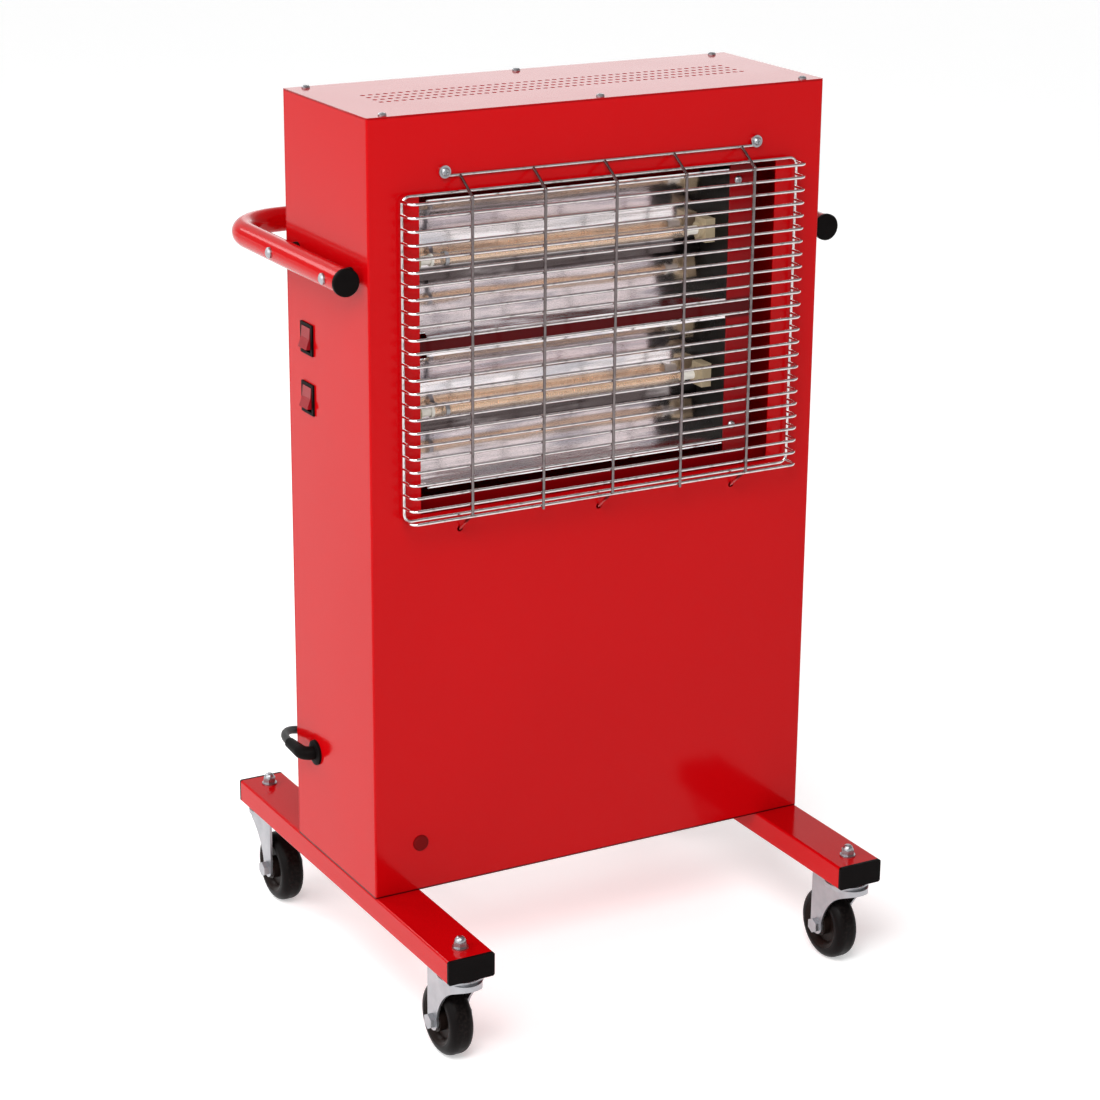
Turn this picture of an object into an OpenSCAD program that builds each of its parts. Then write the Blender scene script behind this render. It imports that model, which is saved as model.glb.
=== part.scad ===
// Mobile infrared heater: a sheet-steel cabinet on two wheeled feet, with two quartz
// lamps in reflectors behind a wire guard, a push handle, two switches and a mains lead.
// Millimetres. +Z is up, the front faces -Y, and the origin is on the floor below the
// middle of the cabinet.

/* [Cabinet] */
// Outside width of the cabinet, across its front
body_w = 500; // [470:1:560]
// Outside depth of the cabinet, front to back
body_d = 184; // [175:1:220]
// Height of the cabinet above its feet
body_h = 780; // [760:1:860]
// Thickness of the sheet steel
sheet_t = 1.2; // [0.8:0.1:2]
// Width of the turned-in edges of the sheets
flange_w = 16; // [14:1:20]
// Width of the dark seams at the edges of the top plate and the back panel
seam_w = 0.6; // [0.3:0.1:1]
// Outside radius of the cabinet's bent front edges
bend_r = 2; // [1.5:0.1:3]

/* [Vent holes in the top plate] */
// Number of rows, front to back
vent_rows = 5; // [3:1:7]
// Number of holes in a row
vent_cols = 38; // [20:1:40]
// Diameter of one hole
vent_d = 5; // [3:0.5:6]
// Distance between neighbouring holes in a row
vent_pitch = 10.4; // [9:0.1:11]
// Distance of the middle row from the middle of the plate, towards the front
vent_off = 6; // [0:1:20]

/* [Window and guard] */
// Width of the window in the front
window_w = 394; // [360:1:410]
// Height of the window
window_h = 310; // [290:1:330]
// Upper edge of the window below the cabinet's top
window_drop = 76; // [60:1:90]
// Diameter of the guard's wire
wire_d = 3; // [2.5:0.1:3.5]
// Number of horizontal bars
bar_count = 25; // [15:1:27]
// How far the guard's bars stand in front of the cabinet
guard_depth = 24; // [18:1:32]
// How far the guard reaches past the window on each side
guard_side = 20.5; // [14:0.5:22]
// Distance between neighbouring uprights
upright_pitch = 77.5; // [60:0.5:80]
// Height of the guard's top rod above the window
rod_rise = 16.5; // [14:0.5:22]

/* [Reflectors and lamps] */
// Distance between the two lamps
lamp_pitch = 150; // [140:1:158]
// Outside diameter of a lamp's quartz tube
lamp_d = 12; // [10:0.5:14]
// Height of a reflector's mouth
trough_h = 130; // [118:1:132]
// Depth of a reflector
trough_d = 52; // [40:1:60]
// Length of a reflector
trough_l = 344; // [320:1:350]
// Distance of the reflectors' middle from the cabinet's middle, to the left
trough_off = 15; // [0:1:20]
// Height of the carrier's red middle bar
mid_bar_h = 13; // [10:1:16]
// Width of the carrier's posts
post_w = 27; // [22:1:30]

/* [Push handle] */
// Outside diameter of the handle's tube
tube_d = 25; // [20:0.5:28]
// Wall of the handle's tube
tube_wall = 1.5; // [1:0.1:2]
// Distance of the handle below the cabinet's top
handle_drop = 153; // [120:1:200]
// Distance of the rear bar behind the middle of the cabinet
handle_back = 203; // [190:1:230]
// Bend of the tube, to its middle
handle_bend = 60; // [50:1:70]
// Length of the spacers between the tube and the cabinet
spacer_l = 5; // [3:0.5:10]

/* [Switches] */
// Distance of the upper switch below the cabinet's top
switch_drop = 237; // [220:1:260]
// Distance between the two switches
switch_pitch = 60; // [45:1:70]
// Distance of the switches behind the middle of the cabinet
switch_y = 46; // [30:1:55]
// Height of a switch's bezel
bezel_h = 31; // [29:0.5:34]
// Width of a switch's bezel
bezel_w = 27; // [26:0.5:30]
// Travel of a rocker, in degrees
rocker_travel = 24; // [16:1:26]

/* [Feet] */
// Length of a foot rail with its end caps
rail_l = 500; // [460:1:540]
// Width of a foot rail
rail_w = 50; // [45:1:60]
// Height of a foot rail
rail_h = 25; // [22:1:30]
// Wall of a foot rail
rail_wall = 2; // [1.5:0.1:2.5]
// Outside radius of a foot rail's edges
rail_r = 2.5; // [2.5:0.1:4]
// Distance of a castor's stem from the end of its rail
stem_inset = 24; // [22:1:30]

/* [Castors] */
// Height of a castor, from the floor to the rail
castor_h = 99; // [95:1:110]
// Diameter of a wheel
wheel_d = 75; // [68:1:76]
// Width of a wheel's tread
wheel_w = 25; // [20:1:28]
// Distance of the axle behind the stem
trail = 27; // [22:1:30]
// Diameter of the axle
axle_d = 8; // [6:0.5:9]
// Diameter of the stem
stem_d = 8; // [7:0.5:9]
// Thickness of a fork's sheet
fork_t = 2.5; // [2:0.1:3]

/* [Mains lead] */
// Diameter of the lead
cord_d = 8.5; // [7:0.1:9]
// Height of the lead's gland above the cabinet's foot
gland_z = 108; // [90:1:130]
// Distance of the gland behind the middle of the cabinet
gland_y = 45; // [35:1:50]
// Radius of the coil's innermost loop
coil_r = 38; // [36:0.5:42]
// Diameter of the plug
plug_d = 38; // [34:0.5:42]
// Diameter of a plug's pin
pin_d = 4.8; // [4:0.1:5]
// Length of a plug's pin
pin_l = 19; // [15:0.5:20]

/* [Fits] */
// Radial clearance of a turning fit
spin_fit = 0.05; // [0.02:0.01:0.1]
// Radial clearance of a screw in its clearance hole
hole_fit = 0.2; // [0.1:0.05:0.4]
// Radial clearance of a thread in its nut
thread_fit = 0.02; // [0.01:0.01:0.05]
// Gap between faces that move past each other
run_gap = 0.5; // [0.3:0.05:0.8]
// How far welded wires sink into each other
weld = 0.3; // [0.1:0.1:0.5]

/* [Hidden] */
$fn = 48;
eps = 1;
z_base = castor_h + rail_h;
z_top = z_base + body_h;
x_side = body_w / 2;
y_front = -body_d / 2;
y_back = body_d / 2;
z_lid = z_top - sheet_t;
y_seam = y_back - sheet_t;
top_screw_d = 4;
top_screw_in = 20;
top_screw_xs = [-1, 0, 1] * (x_side - top_screw_in);
back_screw_x = x_side - flange_w / 2;
back_screw_spots = [
  for (s = [-1, 1])
    for (f = [0.06, 0.5, 0.94])
      [s * back_screw_x, z_base + f * body_h]
];
front_plug_d = 14;
front_plug_rim = 2.5;
front_plug_in = 50;
front_plug_up = 51;
front_plug_x = -x_side + front_plug_in;
front_plug_z = z_base + front_plug_up;

// Guard
window_x = window_w / 2;
win_hi = z_top - window_drop;
win_lo = win_hi - window_h;
guard_x = window_x + guard_side;
ring_lo = win_lo - wire_d;
ring_hi = win_hi + wire_d / 2;
ring_r = 8;
y_ring = y_front - wire_d * 5 / 3;
y_bar = y_front - guard_depth;
y_up = y_bar - wire_d + weld;
bar_lo = ring_lo + 2;
bar_hi = win_hi - wire_d * 5 / 6;
bar_step = (bar_hi - bar_lo) / (bar_count - 1);
bar_bend = 7;
y_rod = y_front - wire_d / 2;
z_rod = win_hi + rod_rise;
eye_r = 4.2;
eye_out = 16.5;
eye_x = 2 * upright_pitch + eye_out;
z_eye = z_rod + eye_r;
hook_drop = 20;
z_hook = win_lo - hook_drop;
z_foot = win_lo + 2;
z_head = win_hi;
hook_in = 6;
hook_hole = wire_d + 3;
knuckle = 0.15;
guard_screw_d = 4;
guard_screw_l = 10;
guard_washer_d = 12;
guard_washer_t = 1;

// Carrier, reflectors and lamps
carrier_t = 1.5;
carrier_set = 20;
y_carrier = y_front + carrier_set;
y_mouth = y_carrier + carrier_t;
mid_rise = 159;
z_mid = win_lo + mid_rise;
lamp_zs = [z_mid + lamp_pitch / 2, z_mid - lamp_pitch / 2];
trough_t = 1;
trough_lo = -trough_off - trough_l / 2;
trough_hi = -trough_off + trough_l / 2;
back_h = 48;
lip_h = lamp_pitch / 2 - trough_h / 2 - 1;
notch = 9;
notch_in = 3;
lamp_set = 34.5;
y_lamp = y_mouth + lamp_set;
lamp_wall = 1;
end_t = 1.2;
end_flange = 18;
end_over = 3;
holder_l = 16;
holder_neck = 5;
holder_h = 24;
holder_d = 20;
cap_d = 9;
cap_out = 15;
cap_in = 4;
collar_l = 3;
quartz_lo = trough_lo + holder_l + cap_out;
quartz_hi = trough_hi - holder_l - cap_out;
filament_d = 4;
clip_w = 4;
clip_t = 1.2;
clip_off = 12;
clip_x = quartz_lo + clip_off;
cross_h = 18;
cross_drop = 10;
cross_lo = win_lo - cross_drop;
cross_hi = win_hi + 4;
carrier_tab = 14;
carrier_screw_d = 4;
screw_hi = 55;
screw_lo = 47;
screw_in = 9;
screw_l = 8;

// Handle
x_tube = x_side + spacer_l + tube_d / 2;
z_tube = z_top - handle_drop;
handle_cap_t = 4;
handle_cap_in = 10;
handle_cap_d = tube_d + 2;
spacer_d = 16;
handle_set = 13;
y_tube = y_front + handle_set;
handle_bolt_ys = [-56, 66];
handle_bolt_d = 6;
bolt_head_d = 11;
bolt_head_t = 2;
handle_nut_af = 10;
handle_nut_h = 5;
spot = 0.6;

// Switches
switch_zs = [z_top - switch_drop, z_top - switch_drop - switch_pitch];
bezel_t = 2;
housing_w = 24;
housing_h = 27;
housing_l = 25;
pocket_w = 20;
pocket_h = 25.4;
pocket_l = 10;
rocker_w = pocket_w - 2 * run_gap;
rocker_h = 21.6;
rocker_sink = 3;
rocker_pin_d = 3;
rocker_tip = 4.5;
rocker_dip = 3.2;
rocker_foot = 4;
tab_w = 6;
tab_t = 0.8;
tab_l = 8;

// Feet and castors
x_rail = x_side - rail_w / 2;
end_cap_t = 3;
end_cap_in = 10;
y_stem = rail_l / 2 - stem_inset;
base_t = 1.5;
base_bolt_y = 60;
base_bolt_d = 8;
head_part = 0.65;
bolt_over = 2;
wheel_r = wheel_d / 2;
hub_w = wheel_w + 3;
hub_d = 24;
web_w = 12;
tread_r = 9;
leg_in = hub_w / 2 + run_gap;
leg_out = leg_in + fork_t;
race_d = 40;
race_t = 4;
crown_t = 3;
crown_d = race_d + 6;
z_race = castor_h - race_t;
z_crown = z_race - run_gap;
z_leg = z_crown - crown_t;
boss_r = 10;
skirt_out = 27;
skirt_drop = 3;
skirt_y = leg_out - skirt_out;
bite_r = 60;
crown_lap = 0.5;
rim_t = 11;
king_d = 16;
king_t = 4;
washer_t = 1.6;
washer_d = 16;
nut_af = 12;
nut_h = 5.5;
dome_h = 5;
castors = [
  [-x_rail, -y_stem, 0],
  [x_rail, -y_stem, 0],
  [-x_rail, y_stem, 180],
  [x_rail, y_stem, 180]
];

// Mains lead
z_gland = z_base + gland_z;
gland_d = 26;
gland_t = 3.5;
gland_nut_h = 5;
stub_over = 2;
stub_d = 16;
boot_d = 14;
boot_tip = 11;
boot_l = 26;
boot_bend = 10;
boot_tilt = 0;
boot_x = x_side + gland_t + boot_bend;
boot_run = boot_bend + boot_l;
y_boot = gland_y + boot_run * cos(boot_tilt);
z_boot = z_gland + boot_run * sin(boot_tilt);
tie_t = 1;
tie_w = 12;
tie_turn = 225;
coil_pitch = cord_d + 0.8;
coil_turns = 2;
coil_top = 1.75;
coil_dip = 3.5;
coil_x = -30;
coil_y = 306;
coil_out = coil_r + coil_turns * coil_pitch;
coil_z = tie_t + cord_d / 2;
plug_l = 34;
plug_neck = 22;
pin_gap = 19;
pin_in = 8;
pin_root = 0.75 * pin_d;

// Points of the lead's free stretch: from the boot, round the rear corner of the
// cabinet, down behind it and back along the floor to the coil
lead_points = [
  [-boot_x, y_boot, z_boot],
  [-boot_x + 3, y_back + 7, z_boot - 0.5],
  [-boot_x + 10.5, y_back + 21.5, z_boot - 2],
  [-boot_x + 23.5, y_back + 33, z_boot - 6],
  [-boot_x + 43.5, y_back + 39.5, z_boot - 14],
  [-boot_x + 62, y_back + 39, z_boot - 27],
  [-boot_x + 90.5, y_back + 37, z_boot - 48],
  [-boot_x + 119, y_back + 36, z_boot - 86],
  [-boot_x + 145, y_back + 42, z_boot - 126],
  [-boot_x + 163, y_back + 60, z_boot - 164],
  [coil_x - coil_out - 4, y_back + 92, z_boot - 194],
  [coil_x - coil_out - 1, y_back + 130, coil_z + 16],
  [coil_x - coil_out, y_back + 168, coil_z + 4],
  [coil_x - coil_out, coil_y - 24, coil_z],
  [coil_x - coil_out, coil_y - 10, coil_z]
];
// Points of the coil's tail, from its last loop to the plug
tail_out = coil_r + coil_top * coil_pitch;
z_tail = coil_z + coil_pitch;
z_plug = plug_d / 2;
tail_points = [
  [coil_x + 30, coil_y + tail_out - 4, z_tail + 1],
  [coil_x + 62, coil_y + tail_out - 20, z_tail + 3],
  [coil_x + 92, coil_y + tail_out - 37, z_plug],
  [coil_x + 104, coil_y + tail_out - 42, z_plug],
  [coil_x + 115, coil_y + tail_out - 46.4, z_plug]
];

// Shared shapes

function unit(v) = v / norm(v);
function turn_at(p, i) = let (a = unit(p[i] - p[i - 1]), b = unit(p[i + 1] - p[i]))
  atan2(a.x * b.y - a.y * b.x, a.x * b.x + a.y * b.y);
function cut_at(p, i, r) = (i == 0 || i == len(p) - 1) ? 0 : r * tan(abs(turn_at(p, i)) / 2);

// A round bar bent along points in the XY plane, with bends of radius r to its middle
module bent_bar(p, r, d) {
  for (i = [0 : len(p) - 2]) {
    u = unit(p[i + 1] - p[i]);
    a = p[i] + u * cut_at(p, i, r);
    b = p[i + 1] - u * cut_at(p, i + 1, r);
    translate([a.x, a.y, 0])
      rotate([0, 0, atan2(u.y, u.x)])
        rotate([0, 90, 0])
          cylinder(d = d, h = norm(b - a));
  }
  for (i = [1 : len(p) - 2]) {
    t = turn_at(p, i);
    u = unit(p[i] - p[i - 1]);
    s = p[i] - u * cut_at(p, i, r);
    c = s + r * sign(t) * [-u.y, u.x];
    a0 = atan2(s.y - c.y, s.x - c.x);
    translate([c.x, c.y, 0])
      rotate([0, 0, t > 0 ? a0 : a0 + t])
        rotate_extrude(angle = abs(t))
          translate([r, 0])
            circle(d = d);
  }
}

// A round bar through points in the XY plane, with a slightly wider ball at each corner
module jointed_bar(p, d) {
  for (i = [0 : len(p) - 2]) {
    u = p[i + 1] - p[i];
    translate([p[i].x, p[i].y, 0])
      rotate([0, 0, atan2(u.y, u.x)])
        rotate([0, 90, 0])
          cylinder(d = d, h = norm(u));
  }
  for (i = [1 : len(p) - 2])
    translate([p[i].x, p[i].y, 0])
      sphere(d = d + 2 * knuckle);
}

// A domed screw head with a cross recess, its seat on the XY plane, and its shank below
module pan_screw(d, l) {
  head_d = 2 * d;
  head_h = 0.6 * d;
  difference() {
    union() {
      cylinder(d = head_d, h = head_h / 2);
      translate([0, 0, head_h / 2])
        cylinder(d1 = head_d, d2 = 0.7 * head_d, h = head_h / 2);
      translate([0, 0, -l])
        cylinder(d = d, h = l);
    }
    for (a = [0, 90])
      rotate([0, 0, a])
        translate([-0.55 * d, -0.12 * d, head_h / 2])
          cube([1.1 * d, 0.24 * d, head_h]);
  }
}

// A hexagon prism across flats af on the XY plane
module hexagon(af, h) {
  cylinder(d = af / cos(30), h = h, $fn = 6);
}

module ring(d_out, d_in, h) {
  difference() {
    cylinder(d = d_out, h = h);
    translate([0, 0, -eps])
      cylinder(d = d_in, h = h + 2 * eps);
  }
}

// A box from its lower to its upper corner
module box(a, b) {
  translate(a)
    cube(b - a);
}

// Its children on the left and mirrored on the right
module both_sides() {
  children();
  mirror([1, 0, 0])
    children();
}

// Turns the XY plane's axis to point out of the cabinet's front
module on_front(x, y, z) {
  translate([x, y, z])
    rotate([90, 0, 0])
      children();
}

// Turns the XY plane's axis to point out of the cabinet's left side
module on_left(x, y, z) {
  translate([x, y, z])
    rotate([0, -90, 0])
      children();
}

// Cabinet

module cabinet_shell() {
  color("firebrick")
    difference() {
      union() {
        box([-x_side, y_front, z_base], [x_side, y_front + sheet_t, z_lid]);
        box([-x_side, y_front, z_lid - sheet_t], [x_side, y_front + flange_w, z_lid]);
        both_sides() {
          box([-x_side, y_front, z_base], [-x_side + sheet_t, y_back - sheet_t, z_lid]);
          box([-x_side, y_front, z_lid - sheet_t], [-x_side + flange_w, y_back - sheet_t, z_lid]);
          box([-x_side, y_back - 2 * sheet_t, z_base], [-x_side + flange_w, y_back - sheet_t, z_lid]);
        }
      }
      box([-window_x, y_front - eps, win_lo], [window_x, y_front + sheet_t + eps, win_hi]);
      seam_cut();
      bend_cut(z_base - eps, z_lid + eps);
      for (x = [-eye_x, eye_x])
        on_front(x, y_front + sheet_t + eps, z_eye)
          cylinder(d = guard_screw_d + 2 * thread_fit, h = sheet_t + 2 * eps);
      for (x = [-2, 0, 2] * upright_pitch)
        on_front(x, y_front + sheet_t + eps, z_hook)
          cylinder(d = hook_hole, h = sheet_t + 2 * eps);
      on_front(front_plug_x, y_front + sheet_t + eps, front_plug_z)
        cylinder(d = front_plug_d + 2 * thread_fit, h = sheet_t + 2 * eps);
      both_sides()
        for (y = handle_bolt_ys)
          on_left(-x_side + sheet_t + eps, y, z_tube)
            cylinder(d = handle_bolt_d + 2 * hole_fit, h = sheet_t + 2 * eps);
      for (z = switch_zs)
        box(
          [-x_side - eps, switch_y - housing_w / 2 - thread_fit, z - housing_h / 2 - thread_fit],
          [-x_side + 2 * sheet_t, switch_y + housing_w / 2 + thread_fit, z + housing_h / 2 + thread_fit]
        );
      on_left(-x_side + sheet_t + eps, gland_y, z_gland)
        cylinder(d = stub_d + 2 * thread_fit, h = sheet_t + 2 * eps);
      for (x = top_screw_xs)
        translate([x, y_front + flange_w / 2, z_lid - 2 * sheet_t])
          cylinder(d = top_screw_d + 2 * thread_fit, h = 3 * sheet_t);
      for (p = back_screw_spots)
        on_front(p.x, y_back, p.y)
          cylinder(d = top_screw_d + 2 * thread_fit, h = 3 * sheet_t);
    }
}

// What rounds the two front edges of the cabinet, from one height to another
module bend_cut(z_lo, z_hi) {
  both_sides()
    translate([-x_side, y_front, z_lo])
      linear_extrude(z_hi - z_lo)
        difference() {
          translate([-eps, -eps])
            square(bend_r + eps);
          translate([bend_r, bend_r])
            circle(r = bend_r);
        }
}

// The shadow gaps under the top plate's edges and in front of the back panel's
module seam_cut() {
  box([-x_side - eps, y_front - eps, z_lid - seam_w], [x_side + eps, y_front + seam_w, z_lid + eps]);
  both_sides()
    box([-x_side - eps, y_front - eps, z_lid - seam_w], [-x_side + seam_w, y_back, z_lid + eps]);
  both_sides()
    box([-x_side - eps, y_seam - seam_w, z_base - eps], [-x_side + seam_w, y_seam + eps, z_lid + eps]);
}

module back_panel() {
  color("firebrick")
    difference() {
      union() {
        box([-x_side, y_back - sheet_t, z_base], [x_side, y_back, z_lid]);
        box(
          [-x_side + flange_w + run_gap, y_back - flange_w, z_lid - sheet_t],
          [x_side - flange_w - run_gap, y_back, z_lid]
        );
      }
      for (p = back_screw_spots)
        on_front(p.x, y_back + eps, p.y)
          cylinder(d = top_screw_d + 2 * hole_fit, h = sheet_t + 2 * eps);
      for (x = top_screw_xs)
        translate([x, y_back - flange_w / 2, z_lid - 2 * sheet_t])
          cylinder(d = top_screw_d + 2 * thread_fit, h = 3 * sheet_t);
    }
}

module back_screws() {
  color("silver")
    for (p = back_screw_spots)
      translate([p.x, y_back, p.y])
        rotate([-90, 0, 0])
          pan_screw(top_screw_d, screw_l);
}

module top_plate() {
  color("firebrick")
    difference() {
      box([-x_side, y_front, z_lid], [x_side, y_back, z_top]);
      bend_cut(z_lid - eps, z_top + eps);
      for (r = [0 : vent_rows - 1])
        for (c = [0 : vent_cols - 1])
          translate([
            (c - (vent_cols - 1) / 2 + (r % 2 == 0 ? 0.25 : -0.25)) * vent_pitch,
            (r - (vent_rows - 1) / 2) * vent_pitch * 0.9 - vent_off,
            z_lid - eps
          ])
            cylinder(d = vent_d, h = sheet_t + 2 * eps, $fn = 24);
      for (x = top_screw_xs)
        for (y = [y_front + flange_w / 2, y_back - flange_w / 2])
          translate([x, y, z_lid - eps])
            cylinder(d = top_screw_d + 2 * hole_fit, h = sheet_t + 2 * eps);
    }
}

module top_screws() {
  color("silver")
    for (x = top_screw_xs)
      for (y = [y_front + flange_w / 2, y_back - flange_w / 2])
        translate([x, y, z_top])
          pan_screw(top_screw_d, screw_l);
}

module base_plate() {
  x_in = x_side - sheet_t;
  y_lo = y_front + sheet_t;
  y_hi = y_back - 2 * sheet_t;
  color("firebrick")
    difference() {
      box([-x_in, y_lo, z_base], [x_in, y_hi, z_base + flange_w]);
      box(
        [-x_in + base_t, y_lo + base_t, z_base + base_t],
        [x_in - base_t, y_hi - base_t, z_base + flange_w + eps]
      );
      for (x = [-x_rail, x_rail])
        for (y = [-base_bolt_y, base_bolt_y])
          translate([x, y, z_base - eps])
            cylinder(d = base_bolt_d + 2 * hole_fit, h = base_t + 2 * eps);
    }
}

module base_bolts() {
  color("silver")
    for (x = [-x_rail, x_rail])
      for (y = [-base_bolt_y, base_bolt_y])
        translate([x, y, castor_h]) {
          translate([0, 0, -head_part * base_bolt_d])
            hexagon(nut_af, head_part * base_bolt_d);
          cylinder(d = base_bolt_d, h = rail_h + base_t + nut_h + bolt_over);
        }
}

module base_nuts() {
  color("silver")
    for (x = [-x_rail, x_rail])
      for (y = [-base_bolt_y, base_bolt_y])
        translate([x, y, z_base + base_t])
          difference() {
            hexagon(nut_af, nut_h);
            translate([0, 0, -eps])
              cylinder(d = base_bolt_d + 2 * thread_fit, h = nut_h + 2 * eps);
          }
}

module front_plug() {
  color("darkred")
    on_front(front_plug_x, y_front, front_plug_z) {
      cylinder(d = front_plug_d + front_plug_rim, h = 1);
      translate([0, 0, 1])
        cylinder(d1 = front_plug_d + front_plug_rim, d2 = front_plug_d - 1, h = 0.8);
      translate([0, 0, -4])
        cylinder(d = front_plug_d, h = 4);
    }
}

// Guard

module guard_ring() {
  color("lightgray")
    on_front(0, y_ring, 0)
      bent_bar([
        [0, ring_lo], [guard_x, ring_lo], [guard_x, ring_hi], [-guard_x, ring_hi],
        [-guard_x, ring_lo], [0, ring_lo]
      ], ring_r, wire_d);
}

module guard_bars() {
  color("lightgray")
    for (i = [0 : bar_count - 1])
      translate([0, 0, bar_lo + i * bar_step])
        bent_bar([
          [-guard_x, y_ring], [-guard_x, y_bar], [guard_x, y_bar], [guard_x, y_ring]
        ], bar_bend, wire_d);
}

// The hook's wire points from the foot bend into its hole in the front
hook_mid = [y_front + sheet_t / 2, z_hook];
hook_dir = unit(hook_mid - [y_up, z_foot]);
hook_end = hook_mid + hook_in * hook_dir;

module guard_uprights() {
  color("lightgray")
    for (i = [-2 : 2])
      translate([i * upright_pitch, 0, 0])
        rotate([90, 0, 90])
          if (i % 2 == 0)
            jointed_bar([hook_end, [y_up, z_foot], [y_up, z_head], [y_rod, z_rod]], wire_d);
          else
            jointed_bar([[y_up, bar_lo - wire_d], [y_up, z_head], [y_rod, z_rod]], wire_d);
}

module guard_rod() {
  color("lightgray") {
    translate([-eye_x, y_rod, z_rod])
      rotate([0, 90, 0])
        cylinder(d = wire_d, h = 2 * eye_x);
    both_sides()
      on_front(eye_x, y_rod, z_eye)
        rotate([0, 0, -90])
          rotate_extrude(angle = 270)
            translate([eye_r, 0])
              circle(d = wire_d);
  }
}

module guard_screws() {
  color("lightgray")
    for (x = [-eye_x, eye_x])
      on_front(x, y_front - wire_d, z_eye) {
        cylinder(d = guard_washer_d, h = guard_washer_t);
        translate([0, 0, guard_washer_t])
          pan_screw(guard_screw_d, wire_d + guard_screw_l);
      }
}

// Heating elements

module element_carrier() {
  x_in = x_side - sheet_t;
  color("firebrick")
    difference() {
      union() {
        for (z = [cross_lo, cross_hi])
          box([-x_in, y_carrier, z], [x_in, y_mouth, z + cross_h]);
        both_sides()
          for (z = [cross_lo, cross_hi])
            box([-x_in, y_carrier, z], [-x_in + carrier_t, y_carrier + carrier_tab, z + cross_h]);
        box([trough_lo - post_w, y_carrier, cross_lo], [trough_lo, y_mouth, cross_hi + cross_h]);
        box([trough_hi, y_carrier, cross_lo], [trough_hi + post_w, y_mouth, cross_hi + cross_h]);
        box(
          [trough_lo - post_w, y_carrier, z_mid - mid_bar_h / 2],
          [trough_hi + post_w, y_mouth, z_mid + mid_bar_h / 2]
        );
      }
      for (p = carrier_screw_spots)
        on_front(p.x, y_mouth + eps, p.y)
          cylinder(d = carrier_screw_d + 2 * hole_fit, h = carrier_t + 2 * eps);
    }
}

carrier_screw_spots = [
  for (x = [trough_lo - screw_in, trough_hi + screw_in])
    for (z = [lamp_zs[0] + screw_hi, lamp_zs[1] - screw_lo])
      [x, z]
];

module carrier_screws() {
  color("silver")
    for (p = carrier_screw_spots)
      on_front(p.x, y_carrier, p.y)
        pan_screw(carrier_screw_d, screw_l);
}

// A trough's section in depth and height about its lamp, with its lip to the middle bar
module trough_section(lip) {
  m = trough_h / 2;
  k = back_h / 2;
  s = trough_t * norm([trough_d, m - k]) / trough_d;
  polygon([
    [0, m], [trough_d, k], [trough_d, -k], [0, -m], [0, -m - lip], [trough_t, -m - lip],
    [trough_t, -m - s + trough_t * (m - k) / trough_d],
    [trough_d + trough_t, -k - s + trough_t * (m - k) / trough_d],
    [trough_d + trough_t, k + s - trough_t * (m - k) / trough_d],
    [0, m + s]
  ]);
}

// A reflector, its lip below when side is 1 and above when side is -1
module reflector(z, side) {
  color("gainsboro")
    difference() {
      translate([trough_lo, y_mouth, z])
        mirror([0, 0, side < 0 ? 1 : 0])
          rotate([90, 0, 90])
            linear_extrude(trough_l)
              trough_section(lip_h);
      for (s = [-1, 1])
        translate([trough_lo, y_mouth, z + s * (trough_h / 2 - notch_in)])
          box([-eps, -eps, -notch], [notch - 1, notch / 2, notch]);
    }
}

module upper_reflector() {
  reflector(lamp_zs[0], 1);
}

module lower_reflector() {
  reflector(lamp_zs[1], -1);
}

// End plates that close the reflectors, each with a flange behind a post
module reflector_ends() {
  h = trough_h + 2 * end_over;
  deep = trough_d + trough_t + end_over;
  color("dimgray")
    difference() {
      for (z = lamp_zs)
        for (e = [[trough_lo, 1], [trough_hi, 0]])
          translate([e.x, y_mouth, z - h / 2])
            mirror([e.y, 0, 0]) {
              cube([end_t, deep, h]);
              cube([end_flange, end_t, h]);
            }
      for (p = carrier_screw_spots)
        on_front(p.x, y_mouth + 2 * end_t, p.y)
          cylinder(d = carrier_screw_d + 2 * thread_fit, h = 3 * end_t);
    }
}

module lamp(z) {
  translate([quartz_lo, y_lamp, z])
    rotate([0, 90, 0])
      ring(lamp_d, lamp_d - 2 * lamp_wall, quartz_hi - quartz_lo);
}

module upper_lamp() {
  color("goldenrod", 0.5)
    lamp(lamp_zs[0]);
}

module lower_lamp() {
  color("goldenrod", 0.5)
    lamp(lamp_zs[1]);
}

module filaments() {
  color("darkgoldenrod")
    for (z = lamp_zs)
      translate([quartz_lo, y_lamp, z])
        rotate([0, 90, 0])
          cylinder(d = filament_d, h = quartz_hi - quartz_lo);
}

// Ceramic caps on the lamps' ends: a collar against the quartz and a pin in the holder
module lamp_caps() {
  color("ivory")
    for (z = lamp_zs)
      for (e = [[quartz_lo, -90], [quartz_hi, 90]])
        translate([e.x, y_lamp, z])
          rotate([0, e.y, 0]) {
            cylinder(d = lamp_d, h = collar_l);
            cylinder(d = cap_d, h = cap_out + cap_in);
          }
}

module lamp_holders() {
  color("tan")
    for (z = lamp_zs)
      for (e = [[trough_lo, 90], [trough_hi, -90]])
        translate([e.x, y_lamp, z])
          rotate([0, e.y, 0])
            difference() {
              union() {
                translate([-holder_h / 2, -holder_d / 2, 0])
                  cube([holder_h, holder_d, holder_l - holder_neck]);
                cylinder(d = holder_d - 4, h = holder_l);
              }
              translate([0, 0, holder_l - cap_in])
                cylinder(d = cap_d + 2 * thread_fit, h = cap_in + eps);
            }
}

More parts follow.
